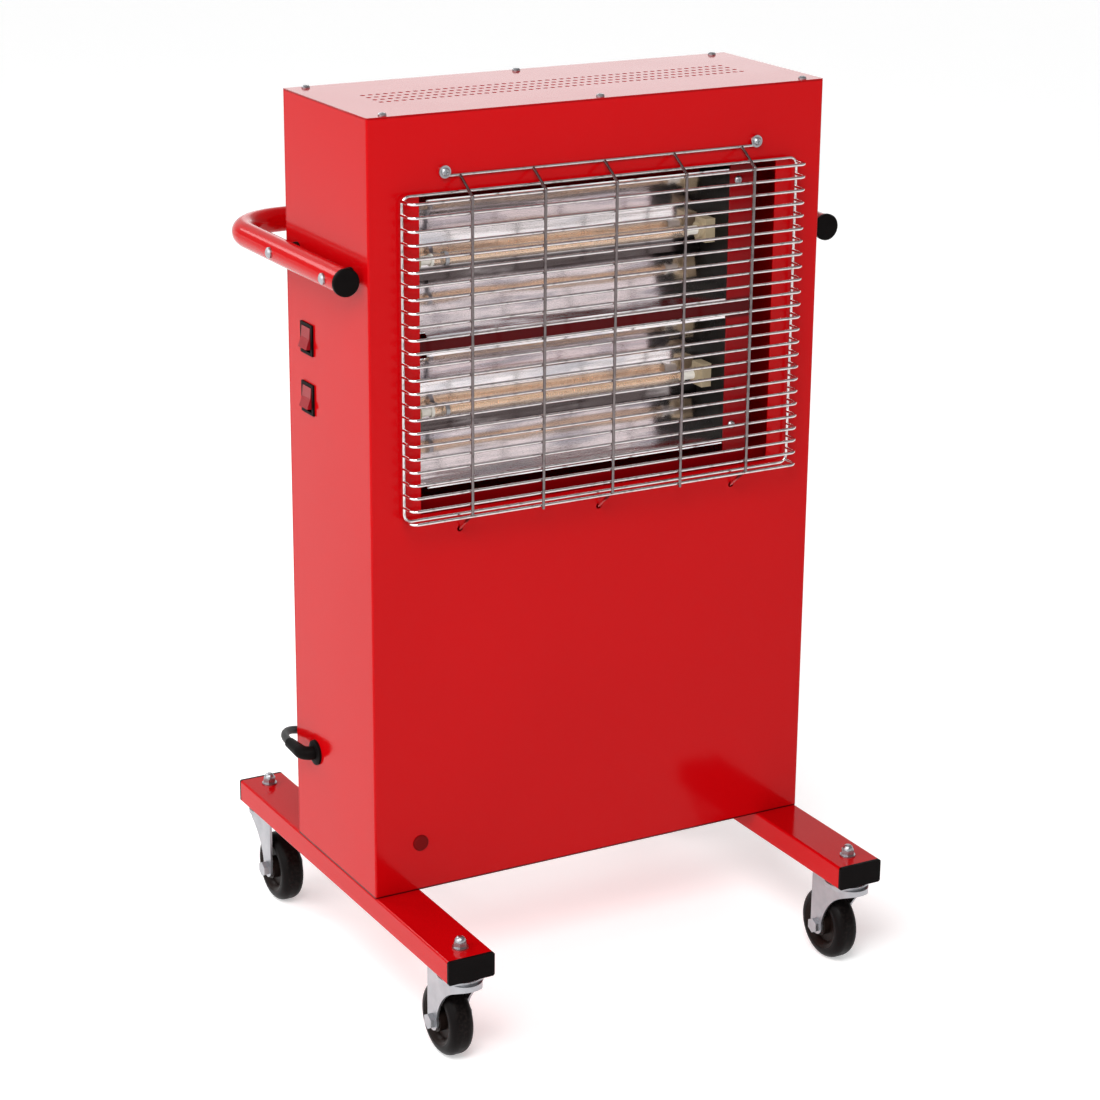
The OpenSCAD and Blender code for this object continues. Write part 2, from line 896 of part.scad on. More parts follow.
// Spring clips that carry the lamps on the reflectors' backs
module lamp_clips() {
  color("silver")
    for (z = lamp_zs)
      translate([clip_x, y_lamp, z]) {
        rotate([0, 90, 0])
          ring(lamp_d + 2 * clip_t, lamp_d, clip_w);
        difference() {
          box([0, 0, -1], [clip_w, y_mouth + trough_d - y_lamp, 1]);
          translate([-eps, 0, 0])
            rotate([0, 90, 0])
              cylinder(d = lamp_d + clip_t, h = clip_w + 2 * eps);
        }
      }
}

// The block that the lead's conductors are screwed to
module terminal_block() {
  poles = 4;
  pole = [16, 24, 20];
  color("ivory")
    translate([-x_side + rail_w, gland_y - pole.y / 2, z_base + base_t])
      difference() {
        cube([poles * pole.x, pole.y, pole.z]);
        for (i = [0 : poles - 1])
          translate([(i + 0.5) * pole.x, pole.y / 2, pole.z / 2])
            cylinder(d = 6, h = pole.z);
      }
}

// Push handle

// The handle's line in plan, with its open ends drawn out by e
function handle_line(e) = [
  [-x_tube, y_tube - e], [-x_tube, handle_back], [x_tube, handle_back], [x_tube, y_tube - e]
];

module handle_tube() {
  color("firebrick")
    difference() {
      translate([0, 0, z_tube])
        bent_bar(handle_line(0), handle_bend, tube_d);
      translate([0, 0, z_tube])
        bent_bar(handle_line(eps), handle_bend, tube_d - 2 * tube_wall);
      both_sides()
        for (y = handle_bolt_ys) {
          on_left(-x_tube + tube_d, y, z_tube)
            cylinder(d = handle_bolt_d + 2 * hole_fit, h = 2 * tube_d);
          on_left(-x_tube - tube_d / 2 + spot, y, z_tube)
            cylinder(d = bolt_head_d + 2 * hole_fit, h = tube_d);
        }
    }
}

module handle_caps() {
  color("black")
    both_sides()
      on_front(-x_tube, y_tube, z_tube) {
        cylinder(d = handle_cap_d, h = handle_cap_t - 1);
        translate([0, 0, handle_cap_t - 1])
          cylinder(d1 = handle_cap_d, d2 = tube_d, h = 1);
        translate([0, 0, -handle_cap_in])
          cylinder(d = tube_d - 2 * tube_wall - 2 * thread_fit, h = handle_cap_in);
      }
}

module handle_spacers() {
  color("black")
    both_sides()
      for (y = handle_bolt_ys)
        difference() {
          on_left(-x_side, y, z_tube)
            ring(spacer_d, handle_bolt_d + 2 * hole_fit, spacer_l + tube_d / 4);
          translate([-x_tube, y - tube_d, z_tube])
            rotate([-90, 0, 0])
              cylinder(d = tube_d, h = 2 * tube_d);
        }
}

module handle_bolts() {
  reach = tube_d - spot + spacer_l + sheet_t + handle_nut_h + bolt_over;
  color("silver")
    both_sides()
      for (y = handle_bolt_ys)
        on_left(-x_tube - tube_d / 2 + spot, y, z_tube) {
          cylinder(d = bolt_head_d, h = bolt_head_t);
          translate([0, 0, bolt_head_t])
            cylinder(d1 = bolt_head_d, d2 = 0.6 * bolt_head_d, h = 0.8 * bolt_head_t);
          translate([0, 0, -reach])
            cylinder(d = handle_bolt_d, h = reach);
        }
}

module handle_nuts() {
  color("silver")
    both_sides()
      for (y = handle_bolt_ys)
        on_left(-x_side + sheet_t + handle_nut_h, y, z_tube)
          difference() {
            hexagon(handle_nut_af, handle_nut_h);
            translate([0, 0, -eps])
              cylinder(d = handle_bolt_d + 2 * thread_fit, h = handle_nut_h + 2 * eps);
          }
}

// Switches, drawn with Z pointing out of the panel and X pointing up

module switch_housing(z) {
  color([0.1, 0.1, 0.1])
    on_left(-x_side, switch_y, z)
      difference() {
        union() {
          translate([-bezel_h / 2, -bezel_w / 2, 0])
            cube([bezel_h, bezel_w, bezel_t]);
          translate([-housing_h / 2, -housing_w / 2, -housing_l])
            cube([housing_h, housing_w, housing_l]);
          for (i = [-1 : 1])
            translate([i * housing_h / 3 - tab_t / 2, -tab_w / 2, -housing_l - tab_l])
              cube([tab_t, tab_w, tab_l]);
        }
        translate([-pocket_h / 2, -pocket_w / 2, -pocket_l])
          cube([pocket_h, pocket_w, pocket_l + bezel_t + eps]);
        translate([0, housing_w / 2 + eps, -rocker_sink])
          rotate([90, 0, 0])
            cylinder(d = rocker_pin_d + 2 * spin_fit, h = housing_w + 2 * eps);
      }
}

// A rocker, tipped so that its lower end stands out, with the two pins that it turns on
module rocker(z) {
  h = rocker_h / 2;
  tip = rocker_sink + rocker_tip;
  dip = rocker_sink + rocker_dip;
  foot = rocker_foot;
  color("red")
    on_left(-x_side + rocker_sink, switch_y, z)
      rotate([90, rocker_travel / 2, 0]) {
        translate([0, 0, -rocker_w / 2])
          linear_extrude(rocker_w)
            polygon([
              [-h, tip], [0, dip], [h, tip], [h - 1, 1], [foot, -foot], [-foot, -foot], [1 - h, 1]
            ]);
        translate([0, 0, -housing_w / 2 + run_gap])
          cylinder(d = rocker_pin_d, h = housing_w - 2 * run_gap);
      }
}

module upper_switch() {
  switch_housing(switch_zs[0]);
}

module lower_switch() {
  switch_housing(switch_zs[1]);
}

module upper_rocker() {
  rocker(switch_zs[0]);
}

module lower_rocker() {
  rocker(switch_zs[1]);
}

// Feet

// A rail's section in width and height from its lower middle, set in all round
module rail_section(inset) {
  r = max(rail_r - inset, 0.5);
  lo = [-rail_w / 2 + inset, inset];
  hi = [rail_w / 2 - inset, rail_h - inset];
  translate([lo.x + r, lo.y])
    square([hi.x - lo.x - 2 * r, hi.y - lo.y]);
  translate([lo.x, lo.y + r])
    square([hi.x - lo.x, hi.y - lo.y - 2 * r]);
  for (x = [lo.x + r, hi.x - r])
    for (y = [lo.y + r, hi.y - r])
      translate([x, y])
        circle(r = r);
}

// A stretch of a rail's section between two distances along it
module rail_run(inset, y_lo, y_hi) {
  translate([0, y_hi, 0])
    rotate([90, 0, 0])
      linear_extrude(y_hi - y_lo)
        rail_section(inset);
}

module rail(x) {
  y_end = rail_l / 2 - end_cap_t;
  color("firebrick")
    translate([x, 0, castor_h])
      difference() {
        rail_run(0, -y_end, y_end);
        rail_run(rail_wall, -y_end - eps, y_end + eps);
        for (y = [-y_stem, y_stem])
          translate([0, y, -eps])
            cylinder(d = stem_d + 2 * hole_fit, h = rail_h + 2 * eps);
        for (y = [-base_bolt_y, base_bolt_y])
          translate([0, y, -eps])
            cylinder(d = base_bolt_d + 2 * hole_fit, h = rail_h + 2 * eps);
      }
}

module left_rail() {
  rail(-x_rail);
}

module right_rail() {
  rail(x_rail);
}

module rail_caps() {
  y_end = rail_l / 2 - end_cap_t;
  in = rail_wall + thread_fit;
  color("black")
    for (x = [-x_rail, x_rail])
      for (s = [-1, 1])
        translate([x, s * y_end, castor_h])
          rotate([0, 0, s > 0 ? 0 : 180]) {
            rail_run(0, 0, end_cap_t);
            rail_run(in, -end_cap_in, 0);
          }
}

// Castors, drawn at their stem with the wheel trailing to +Y

module at_castor(i) {
  translate([castors[i].x, castors[i].y, 0])
    rotate([0, 0, castors[i].z])
      children();
}

module castor_stems() {
  top = rail_h + washer_t + nut_h;
  color("silver")
    for (i = [0 : 3])
      at_castor(i) {
        translate([0, 0, z_race])
          cylinder(d = race_d, h = race_t);
        translate([0, 0, z_leg - run_gap - king_t])
          cylinder(d = king_d, h = king_t);
        translate([0, 0, z_leg - run_gap - king_t])
          cylinder(d = stem_d, h = castor_h + top - z_leg + run_gap + king_t);
      }
}

module stem_washers() {
  color("silver")
    for (i = [0 : 3])
      at_castor(i)
        translate([0, 0, z_base])
          ring(washer_d, stem_d + 2 * hole_fit, washer_t);
}

module dome_nuts() {
  color("silver")
    for (i = [0 : 3])
      at_castor(i)
        translate([0, 0, z_base + washer_t])
          difference() {
            union() {
              hexagon(nut_af, nut_h);
              intersection() {
                translate([0, 0, nut_h])
                  sphere(d = nut_af - 1);
                translate([0, 0, nut_h])
                  cylinder(d = nut_af, h = dome_h);
              }
            }
            translate([0, 0, -eps])
              cylinder(d = stem_d + 2 * thread_fit, h = nut_h + 2 * eps);
          }
}

// A fork's outline from the side, in trail and height: upright behind the axle, with a
// round bite between the skirt's lower edge and the axle's boss
module fork_side() {
  skirt = [-skirt_out, z_leg - skirt_drop];
  boss = [trail - 0.8 * boss_r, wheel_r];
  in = unit([boss.y - skirt.y, skirt.x - boss.x]);
  half = norm(boss - skirt) / 2;
  difference() {
    union() {
      difference() {
        translate([-skirt_out - eps, wheel_r])
          square([skirt_out + eps + trail + boss_r, z_crown - wheel_r]);
        translate((skirt + boss) / 2 + in * sqrt(bite_r * bite_r - half * half))
          circle(r = bite_r);
      }
      translate([trail, wheel_r])
        circle(r = boss_r);
    }
    translate([trail, wheel_r])
      circle(d = axle_d + 2 * hole_fit);
  }
}

// A fork's plan: two cheeks that run into a half round at the front
module fork_plan(r) {
  translate([0, skirt_y])
    circle(r = r);
  translate([-r, skirt_y])
    square([2 * r, trail + boss_r + eps - skirt_y]);
}

module fork(i) {
  color("lightsteelblue")
    at_castor(i) {
      difference() {
        union() {
          translate([0, 0, z_leg + crown_lap])
            cylinder(d = crown_d, h = crown_t - crown_lap);
          translate([0, 0, z_leg + crown_lap])
            ring(crown_d, race_d + 2 * run_gap, crown_t - crown_lap + run_gap + race_t / 2);
          intersection() {
            difference() {
              linear_extrude(z_crown - crown_lap)
                fork_plan(leg_out);
              translate([0, 0, -eps])
                linear_extrude(z_leg + eps)
                  fork_plan(leg_in);
            }
            translate([-leg_out - eps, 0, 0])
              rotate([90, 0, 90])
                linear_extrude(2 * leg_out + 2 * eps)
                  fork_side();
          }
        }
        translate([0, 0, z_leg - eps])
          cylinder(d = stem_d + 2 * spin_fit, h = crown_t + 2 * eps);
      }
    }
}

module axle(i) {
  head = head_part * axle_d;
  af = 1.75 * axle_d;
  color("silver")
    at_castor(i)
      translate([0, trail, wheel_r])
        rotate([0, 90, 0]) {
          translate([0, 0, -leg_out - head])
            hexagon(af, head);
          translate([0, 0, -leg_out])
            cylinder(d = axle_d, h = 2 * leg_out);
          translate([0, 0, leg_out])
            hexagon(af, 0.8 * axle_d);
        }
}

// A wheel's half section in radius and width, with rounded tread shoulders
module wheel_section() {
  w = wheel_w / 2;
  bore = axle_d / 2 + spin_fit;
  rim_in = wheel_r - rim_t;
  translate([bore, -hub_w / 2])
    square([hub_d / 2 - bore, hub_w]);
  translate([bore, -web_w / 2])
    square([rim_in + 2 - bore, web_w]);
  translate([rim_in, -w + tread_r])
    square([wheel_r - rim_in, 2 * (w - tread_r)]);
  translate([rim_in, -w])
    square([wheel_r - tread_r - rim_in, wheel_w]);
  for (s = [-1, 1])
    translate([wheel_r - tread_r, s * (w - tread_r)])
      circle(r = tread_r);
}

module wheel(i) {
  color([0.12, 0.1, 0.1])
    at_castor(i)
      translate([0, trail, wheel_r])
        rotate([0, 90, 0])
          rotate_extrude()
            wheel_section();
}

module fork_fl() {
  fork(0);
}

module fork_fr() {
  fork(1);
}

module fork_rl() {
  fork(2);
}

module fork_rr() {
  fork(3);
}

module axle_fl() {
  axle(0);
}

module axle_fr() {
  axle(1);
}

module axle_rl() {
  axle(2);
}

module axle_rr() {
  axle(3);
}

module wheel_fl() {
  wheel(0);
}

module wheel_fr() {
  wheel(1);
}

module wheel_rl() {
  wheel(2);
}

module wheel_rr() {
  wheel(3);
}

// Mains lead

// The gland with its elbow and tapered boot, tipped a little upwards to the rear
module strain_relief() {
  color([0.08, 0.08, 0.08])
    translate([-x_side, gland_y, z_gland])
      rotate([boot_tilt, 0, 0]) {
        rotate([0, -90, 0]) {
          cylinder(d = gland_d, h = gland_t - 1);
          translate([0, 0, gland_t - 1])
            cylinder(d1 = gland_d, d2 = boot_d + 4, h = 1);
          translate([0, 0, -sheet_t - gland_nut_h - stub_over])
            cylinder(d = stub_d, h = sheet_t + gland_nut_h + stub_over);
        }
        translate([-gland_t, boot_bend, 0])
          rotate([0, 0, 180])
            rotate_extrude(angle = 90)
              translate([boot_bend, 0])
                circle(d = boot_d);
        translate([-gland_t - boot_bend, boot_bend, 0])
          rotate([-90, 0, 0])
            cylinder(d1 = boot_d, d2 = boot_tip, h = boot_l);
      }
}

module gland_nut() {
  color([0.08, 0.08, 0.08])
    on_left(-x_side + sheet_t + gland_nut_h, gland_y, z_gland)
      difference() {
        hexagon(gland_d - 4, gland_nut_h);
        translate([0, 0, -eps])
          cylinder(d = stub_d + 2 * thread_fit, h = gland_nut_h + 2 * eps);
      }
}

// Smooth curve through points, s steps to a stretch
function spline(a, b, c, d, t) = 0.5 * (2 * b + (c - a) * t + (2 * a - 5 * b + 4 * c - d) * t * t
  + (3 * b - a - 3 * c + d) * t * t * t);
function curve(p, s) = [
  for (i = [0 : len(p) - 2])
    for (k = [0 : s - 1])
      spline(i == 0 ? 2 * p[0] - p[1] : p[i - 1], p[i], p[i + 1],
        i == len(p) - 2 ? 2 * p[i + 1] - p[i] : p[i + 2], k / s),
  p[len(p) - 1]
];

// Rings round a line, each turned from the one before without twist
function heading(p, i) = unit(p[min(i + 1, len(p) - 1)] - p[max(i - 1, 0)]);
function carried(u, t) = unit(u - (u * t) * t);
function sides_of(p, u0) = [
  for (i = 0, u = carried(u0, heading(p, 0)); i < len(p); i = i + 1,
    u = i < len(p) ? carried(u, heading(p, i)) : u) u
];
module cord(p, d, n, u0) {
  us = sides_of(p, u0);
  rings = [
    for (i = [0 : len(p) - 1])
      for (k = [0 : n - 1])
        p[i] + d / 2 * (cos(360 * k / n) * us[i] + sin(360 * k / n) * cross(heading(p, i), us[i]))
  ];
  walls = [
    for (i = [0 : len(p) - 2])
      for (k = [0 : n - 1])
        [i * n + k, (i + 1) * n + k, (i + 1) * n + (k + 1) % n, i * n + (k + 1) % n]
  ];
  last = (len(p) - 1) * n;
  ends = [
    [for (k = [0 : n - 1]) k],
    [for (k = [n - 1 : -1 : 0]) last + k]
  ];
  polyhedron(rings, concat(walls, ends));
}

lead_line = curve(lead_points, 5);

module cord_lead() {
  color([0.06, 0.06, 0.06])
    cord(lead_line, cord_d, 10, [0, 0, 1]);
}

// The coil runs clockwise: in along the floor, up a layer in half a turn, and out again
function coil_turn(t) =
  t < coil_turns ? [coil_r + (coil_turns - t) * coil_pitch, 0] :
  t < coil_turns + 0.5 ? [
    coil_r - coil_dip * sin(360 * (t - coil_turns)),
    coil_pitch * (0.5 - 0.5 * cos(360 * (t - coil_turns)))
  ] : [coil_r + (t - coil_turns - 0.5) * coil_pitch, coil_pitch];
function coil_spot(t) = let (c = coil_turn(t), a = 180 - 360 * t)
  [coil_x + c.x * cos(a), coil_y + c.x * sin(a), coil_z + c.y];
coil_loops = coil_turns + 0.5 + coil_top;
coil_rings = 24;
loops_line = [for (k = [0 : coil_loops * coil_rings]) coil_spot(k / coil_rings)];
coil_line = concat(
  [lead_points[len(lead_points) - 1]],
  loops_line,
  [for (p = curve(concat([coil_spot(coil_loops)], tail_points), 4)) if (p != coil_spot(coil_loops)) p]
);

// The least gap between stretches of the coil that are at least half a loop apart
coil_gap = min([
  for (i = [0 : len(coil_line) - 1])
    for (k = [i + coil_rings / 2 : 1 : len(coil_line) - 1])
      norm(coil_line[i] - coil_line[k])
]) - cord_d;
echo("least gap in the coil", coil_gap);

module cord_coil() {
  color([0.06, 0.06, 0.06])
    cord(coil_line, cord_d, 6, [0, 0, 1]);
}

// A strap round the coil's loops
module cord_tie() {
  r_lo = coil_r - cord_d / 2;
  r_hi = coil_out + cord_d / 2;
  h = cord_d + coil_pitch;
  color([0.1, 0.1, 0.1])
    translate([coil_x, coil_y, 0])
      rotate([0, 0, tie_turn])
        difference() {
          box([r_lo - tie_t, -tie_w / 2, 0], [r_hi + tie_t, tie_w / 2, h + 2 * tie_t]);
          box([r_lo, -tie_w, tie_t], [r_hi, tie_w, h + tie_t]);
        }
}

plug_at = tail_points[len(tail_points) - 1];
plug_dir = unit(plug_at - tail_points[len(tail_points) - 2]);

// Turns the Z axis to run along the plug, from the lead's end
module at_plug() {
  translate(plug_at)
    rotate([0, 90, atan2(plug_dir.y, plug_dir.x)])
      children();
}

// Two cylinders where the pins are, from a depth inside the plug's face to a height over it
module pin_pair(d, depth, height) {
  for (s = [-1, 1])
    translate([0, s * pin_gap / 2, plug_neck + plug_l - depth])
      cylinder(d = d, h = depth + height);
}

// A round moulded plug that lies beside the coil
module plug() {
  color([0.08, 0.08, 0.08])
    at_plug()
      difference() {
        union() {
          cylinder(d1 = boot_tip, d2 = boot_d + 2, h = plug_neck);
          translate([0, 0, plug_neck])
            cylinder(d1 = 0.7 * plug_d, d2 = plug_d, h = plug_l / 3);
          translate([0, 0, plug_neck + plug_l / 3])
            cylinder(d = plug_d, h = plug_l * 2 / 3);
        }
        pin_pair(pin_root + 2 * thread_fit, pin_in, eps);
      }
}

module plug_pins() {
  color("silver")
    at_plug() {
      pin_pair(pin_root, pin_in, eps);
      pin_pair(pin_d, 0, pin_l);
    }
}

cabinet_shell();
back_panel();
back_screws();
top_plate();
top_screws();
base_plate();
base_bolts();
base_nuts();
front_plug();
guard_ring();
guard_bars();
guard_uprights();
guard_rod();
guard_screws();
element_carrier();
carrier_screws();
upper_reflector();
lower_reflector();
reflector_ends();
upper_lamp();
lower_lamp();
filaments();
lamp_caps();
lamp_holders();
lamp_clips();
terminal_block();
handle_tube();
handle_caps();
handle_spacers();
handle_bolts();
handle_nuts();
upper_switch();
upper_rocker();
lower_switch();
lower_rocker();
left_rail();
right_rail();
rail_caps();
castor_stems();
stem_washers();
dome_nuts();
fork_fl();
fork_fr();
fork_rl();
fork_rr();
axle_fl();
axle_fr();
axle_rl();
axle_rr();
wheel_fl();
wheel_fr();
wheel_rl();
wheel_rr();
strain_relief();
gland_nut();
cord_lead();
cord_coil();
cord_tie();
plug();
plug_pins();
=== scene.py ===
"""Dresses the mobile infrared heater: finishes, lead, lamp windings, light and camera."""
import logging
import math
from dataclasses import dataclass
from enum import Enum
from typing import Any, Optional, Union

import bmesh
import bpy
from mathutils import Euler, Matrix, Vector


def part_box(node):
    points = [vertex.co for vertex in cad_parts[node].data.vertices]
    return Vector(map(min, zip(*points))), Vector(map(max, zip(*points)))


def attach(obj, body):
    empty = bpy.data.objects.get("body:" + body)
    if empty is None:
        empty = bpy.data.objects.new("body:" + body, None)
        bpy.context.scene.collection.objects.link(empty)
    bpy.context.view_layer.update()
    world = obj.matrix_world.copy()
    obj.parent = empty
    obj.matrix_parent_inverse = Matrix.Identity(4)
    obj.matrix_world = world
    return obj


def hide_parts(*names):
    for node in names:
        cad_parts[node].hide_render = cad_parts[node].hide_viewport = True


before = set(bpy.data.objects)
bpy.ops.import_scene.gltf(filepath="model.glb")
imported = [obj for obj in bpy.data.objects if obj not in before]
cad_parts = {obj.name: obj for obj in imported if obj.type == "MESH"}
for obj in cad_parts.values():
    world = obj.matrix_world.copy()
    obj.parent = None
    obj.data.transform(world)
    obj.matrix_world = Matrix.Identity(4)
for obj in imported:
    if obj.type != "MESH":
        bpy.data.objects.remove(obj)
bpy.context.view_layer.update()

LOG = logging.getLogger("heater")
MM = 0.001
Colour = tuple[float, float, float]
Point = tuple[float, float, float]
Spot = tuple[float, float]
Span = tuple[float, float]


class Body(Enum):
    """The bodies of the frame that new pieces ride on."""

    CABINET = "cabinet"


class Grain(Enum):
    """How the marks on a surface are drawn out along X: the scale of each axis."""

    EVEN = (1.0, 1.0, 1.0)
    STREAKS = (0.03, 1.0, 1.0)
    DENTS = (0.12, 1.0, 1.0)
    SMUDGES = (0.18, 1.0, 1.0)
    # Stretch of the patches in the reflectors' painted shade.
    SHADE_PATCHES = (0.2, 1.0, 1.0)


class Sock:
    """A shader socket that takes part in Python arithmetic by adding Math nodes."""

    def __init__(self, net: "Net", out: Optional[bpy.types.NodeSocket]) -> None:
        """Wraps an output socket of a net's tree."""
        self.net = net
        self.out = out

    def _math(self, operation: str, a: "Value", b: "Value") -> "Sock":
        """Adds one Math node and gives its result."""
        return self.net.add("ShaderNodeMath", {"operation": operation}, {0: a, 1: b})

    def __add__(self, other: "Value") -> "Sock":
        """self + other."""
        return self._math("ADD", self, other)

    def __radd__(self, other: "Value") -> "Sock":
        """other + self."""
        return self._math("ADD", other, self)

    def __sub__(self, other: "Value") -> "Sock":
        """self - other."""
        return self._math("SUBTRACT", self, other)

    def __rsub__(self, other: "Value") -> "Sock":
        """other - self."""
        return self._math("SUBTRACT", other, self)

    def __mul__(self, other: "Value") -> "Sock":
        """self * other."""
        return self._math("MULTIPLY", self, other)

    def __rmul__(self, other: "Value") -> "Sock":
        """other * self."""
        return self._math("MULTIPLY", other, self)


Value = Union[Sock, float]


class Net:
    """A node tree that is built from Python expressions."""

    def __init__(self, tree: bpy.types.NodeTree) -> None:
        """Empties a material's or the world's tree and keeps it."""
        self.tree = tree
        tree.nodes.clear()

    def add(
        self,
        kind: str,
        settings: Optional[dict[str, Any]] = None,
        inputs: Optional[dict[Union[int, str], Any]] = None,
        out: Union[int, str] = 0,
    ) -> Sock:
        """Adds any node.

        Args:
            kind: the node's type.
            settings: its properties, set first.
            inputs: values or sockets for its inputs, by index or name.
            out: the output that is given back.

        Returns:
            The wrapped output socket, an empty one for an end node.
        """
        node = self.tree.nodes.new(kind)
        for name, value in (settings or {}).items():
            setattr(node, name, value)
        for key, value in (inputs or {}).items():
            if isinstance(value, Sock):
                self.tree.links.new(value.out, node.inputs[key])
            elif isinstance(value, tuple) and node.inputs[key].type == "RGBA":
                node.inputs[key].default_value = (*value, 1.0)
            else:
                node.inputs[key].default_value = value
        return Sock(self, node.outputs[out] if node.outputs else None)

    def vector(
        self, operation: str, a: Sock, b: Optional[Point] = None, out: str = "Vector"
    ) -> Sock:
        """Adds one Vector Math node and gives its result."""
        inputs = {0: a} if b is None else {0: a, 1: b}
        return self.add("ShaderNodeVectorMath", {"operation": operation}, inputs, out)

    def place(self, grain: Grain = Grain.EVEN) -> Sock:
        """The point on the object at rest, in metres, with its axes scaled.

        Args:
            grain: how the marks that lie on it are drawn out.

        Returns:
            The point.
        """
        at = self.add("ShaderNodeTexCoord", out="Object")
        if grain is Grain.EVEN:
            return at
        return self.vector("MULTIPLY", at, grain.value)

    def part(self, at: Sock, axis: str) -> Sock:
        """One coordinate of a point."""
        return self.add("ShaderNodeSeparateXYZ", {}, {0: at}, out=axis)

    def noise(self, at: Sock, scale: float, detail: float = 2.0) -> Sock:
        """Soft noise from 0 to 1 with scale features to a metre."""
        inputs = {"Vector": at, "Scale": scale, "Detail": detail}
        return self.add("ShaderNodeTexNoise", {}, inputs)

    def step(self, value: Sock, low: float, high: float) -> Sock:
        """A smooth step from 0 at low to 1 at high."""
        inputs = {"Value": value, "From Min": low, "From Max": high}
        return self.add("ShaderNodeMapRange", {"interpolation_type": "SMOOTHSTEP"}, inputs)

    def blend(self, factor: Sock, a: Union[Sock, Colour], b: Union[Sock, Colour]) -> Sock:
        """A colour between a and b."""
        return self.add("ShaderNodeMix", {"data_type": "RGBA"}, {0: factor, 6: a, 7: b}, out=2)

    def bump(self, height: Sock, distance: float) -> Sock:
        """A normal that is tipped by a height of distance metres."""
        return self.add("ShaderNodeBump", {}, {"Height": height, "Distance": distance})

    def surface(self, **inputs: Any) -> None:
        """Ends the tree in a Principled shader.

        Args:
            inputs: the shader's sockets, with _ for each space in their names.
        """
        named = {key.replace("_", " "): value for key, value in inputs.items()}
        shader = self.add("ShaderNodeBsdfPrincipled", {}, named)
        self.add("ShaderNodeOutputMaterial", {}, {"Surface": shader})


@dataclass(frozen=True)
class Finish:
    """What all finishes share: a name and a way to make a material."""

    name: str

    def material(self) -> bpy.types.Material:
        """Makes the material and draws its nodes.

        Returns:
            The material.
        """
        made = bpy.data.materials.new(self.name)
        made.use_nodes = True
        self.draw(Net(made.node_tree))
        return made

    def draw(self, net: Net) -> None:
        """Draws the finish's nodes into a net."""
        raise NotImplementedError


@dataclass(frozen=True)
class PowderCoat(Finish):
    """A gloss powder coat on thin sheet, with orange peel and a slight wave."""

    red: Colour = (0.445, 0.0010, 0.0026)
    deep: Colour = (0.40, 0.0007, 0.0020)
    shine: float = 0.105
    rough: float = 0.09
    cloud_scale: float = 5.0
    cloud_rough: float = 0.07
    wave_scale: float = 7.0
    wave: float = 0.35
    peel_scale: float = 620.0
    peel: float = 0.012
    depth: float = 2.0 * MM
    speck_scale: float = 900.0
    speck_edge: Span = (0.68, 0.78)
    speck_rough: float = 0.2

    def draw(self, net: Net) -> None:
        """Draws the coat's nodes.

        Args:
            net: the tree that they go into.
        """
        at = net.place()
        cloud = net.noise(at, self.cloud_scale, detail=3.0)
        peel = net.noise(at, self.peel_scale, detail=1.0)
        wave = net.noise(at, self.wave_scale, detail=1.0)
        speck = net.step(net.noise(at, self.speck_scale), *self.speck_edge)
        net.surface(
            Base_Color=self.colour(net, at, net.blend(cloud, self.deep, self.red)),
            Roughness=self.rough + self.cloud_rough * cloud + self.speck_rough * speck,
            Specular_IOR_Level=self.shine,
            Normal=net.bump(wave * self.wave + peel * self.peel, self.depth),
        )

    def colour(self, net: Net, at: Sock, clean: Sock) -> Sock:
        """The coat's colour at a point, from the clean coat's."""
        return clean


@dataclass(frozen=True)
class ShadedMiddleCoat(PowderCoat):
    """A powder coat with painted shade in a band at one height, for the recessed bar between the
    reflectors.
    """

    middle_z: float = 0.0
    half: float = 8.0 * MM
    fade: float = 1.5
    # Painted shade: the colour of the dark band.
    painted_shade: Colour = (0.075, 0.001, 0.002)

    def colour(self, net: Net, at: Sock, clean: Sock) -> Sock:
        """The coat's colour, with painted shade darkest at its middle height.

        Args:
            net: the tree.
            at: the point.
            clean: the clean coat's colour.

        Returns:
            The colour.
        """
        off = net.part(at, "Z") - self.middle_z
        clear = net.step(off * off, self.half ** 2, (self.fade * self.half) ** 2)
        return net.blend(1.0 - clear, clean, self.painted_shade)


@dataclass(frozen=True)
class ShadedFootCoat(PowderCoat):
    """A powder coat with a line of painted shade along its lower edge, where it sits on the
    rails.
    """

    foot_z: float = 0.0
    shade_h: float = 1.6 * MM
    fade: float = 1.8
    uneven: float = 1.2 * MM
    uneven_scale: float = 40.0
    # Painted shade: the colour of the dark line at the foot.
    painted_foot_shade: Colour = (0.07, 0.001, 0.002)

    def colour(self, net: Net, at: Sock, clean: Sock) -> Sock:
        """The coat's colour, with painted shade in a thin uneven line at its foot.

        Args:
            net: the tree.
            at: the point.
            clean: the clean coat's colour.

        Returns:
            The colour.
        """
        uneven = self.uneven * net.noise(at, self.uneven_scale)
        up = net.part(at, "Z") - self.foot_z + uneven
        clear = net.step(up, self.shade_h, self.fade * self.shade_h)
        return net.blend(clear, self.painted_foot_shade, clean)


@dataclass(frozen=True)
class BrightWire(Finish):
    """Bright plated wire with faint draw marks and a few dull spots."""

    tint: Colour = (0.70, 0.65, 0.65)
    spot: Colour = (0.46, 0.41, 0.41)
    spot_scale: float = 160.0
    spot_edge: Span = (0.5, 0.75)
    rough: float = 0.06
    spot_rough: float = 0.1
    mark_scale: float = 1500.0
    mark: float = 0.03 * MM

    def draw(self, net: Net) -> None:
        """Draws the wire's nodes.

        Args:
            net: the tree that they go into.
        """
        at = net.place()
        dull = net.step(net.noise(at, self.spot_scale, detail=3.0), *self.spot_edge)
        net.surface(
            Base_Color=self.colour(net, at, net.blend(dull, self.tint, self.spot)),
            Metallic=1.0,
            Roughness=self.rough + self.spot_rough * dull,
            Normal=net.bump(net.noise(at, self.mark_scale, detail=1.0), self.mark),
        )

    def colour(self, net: Net, at: Sock, plain: Sock) -> Sock:
        """The wire's colour at a point, from the plain wire's."""
        return plain


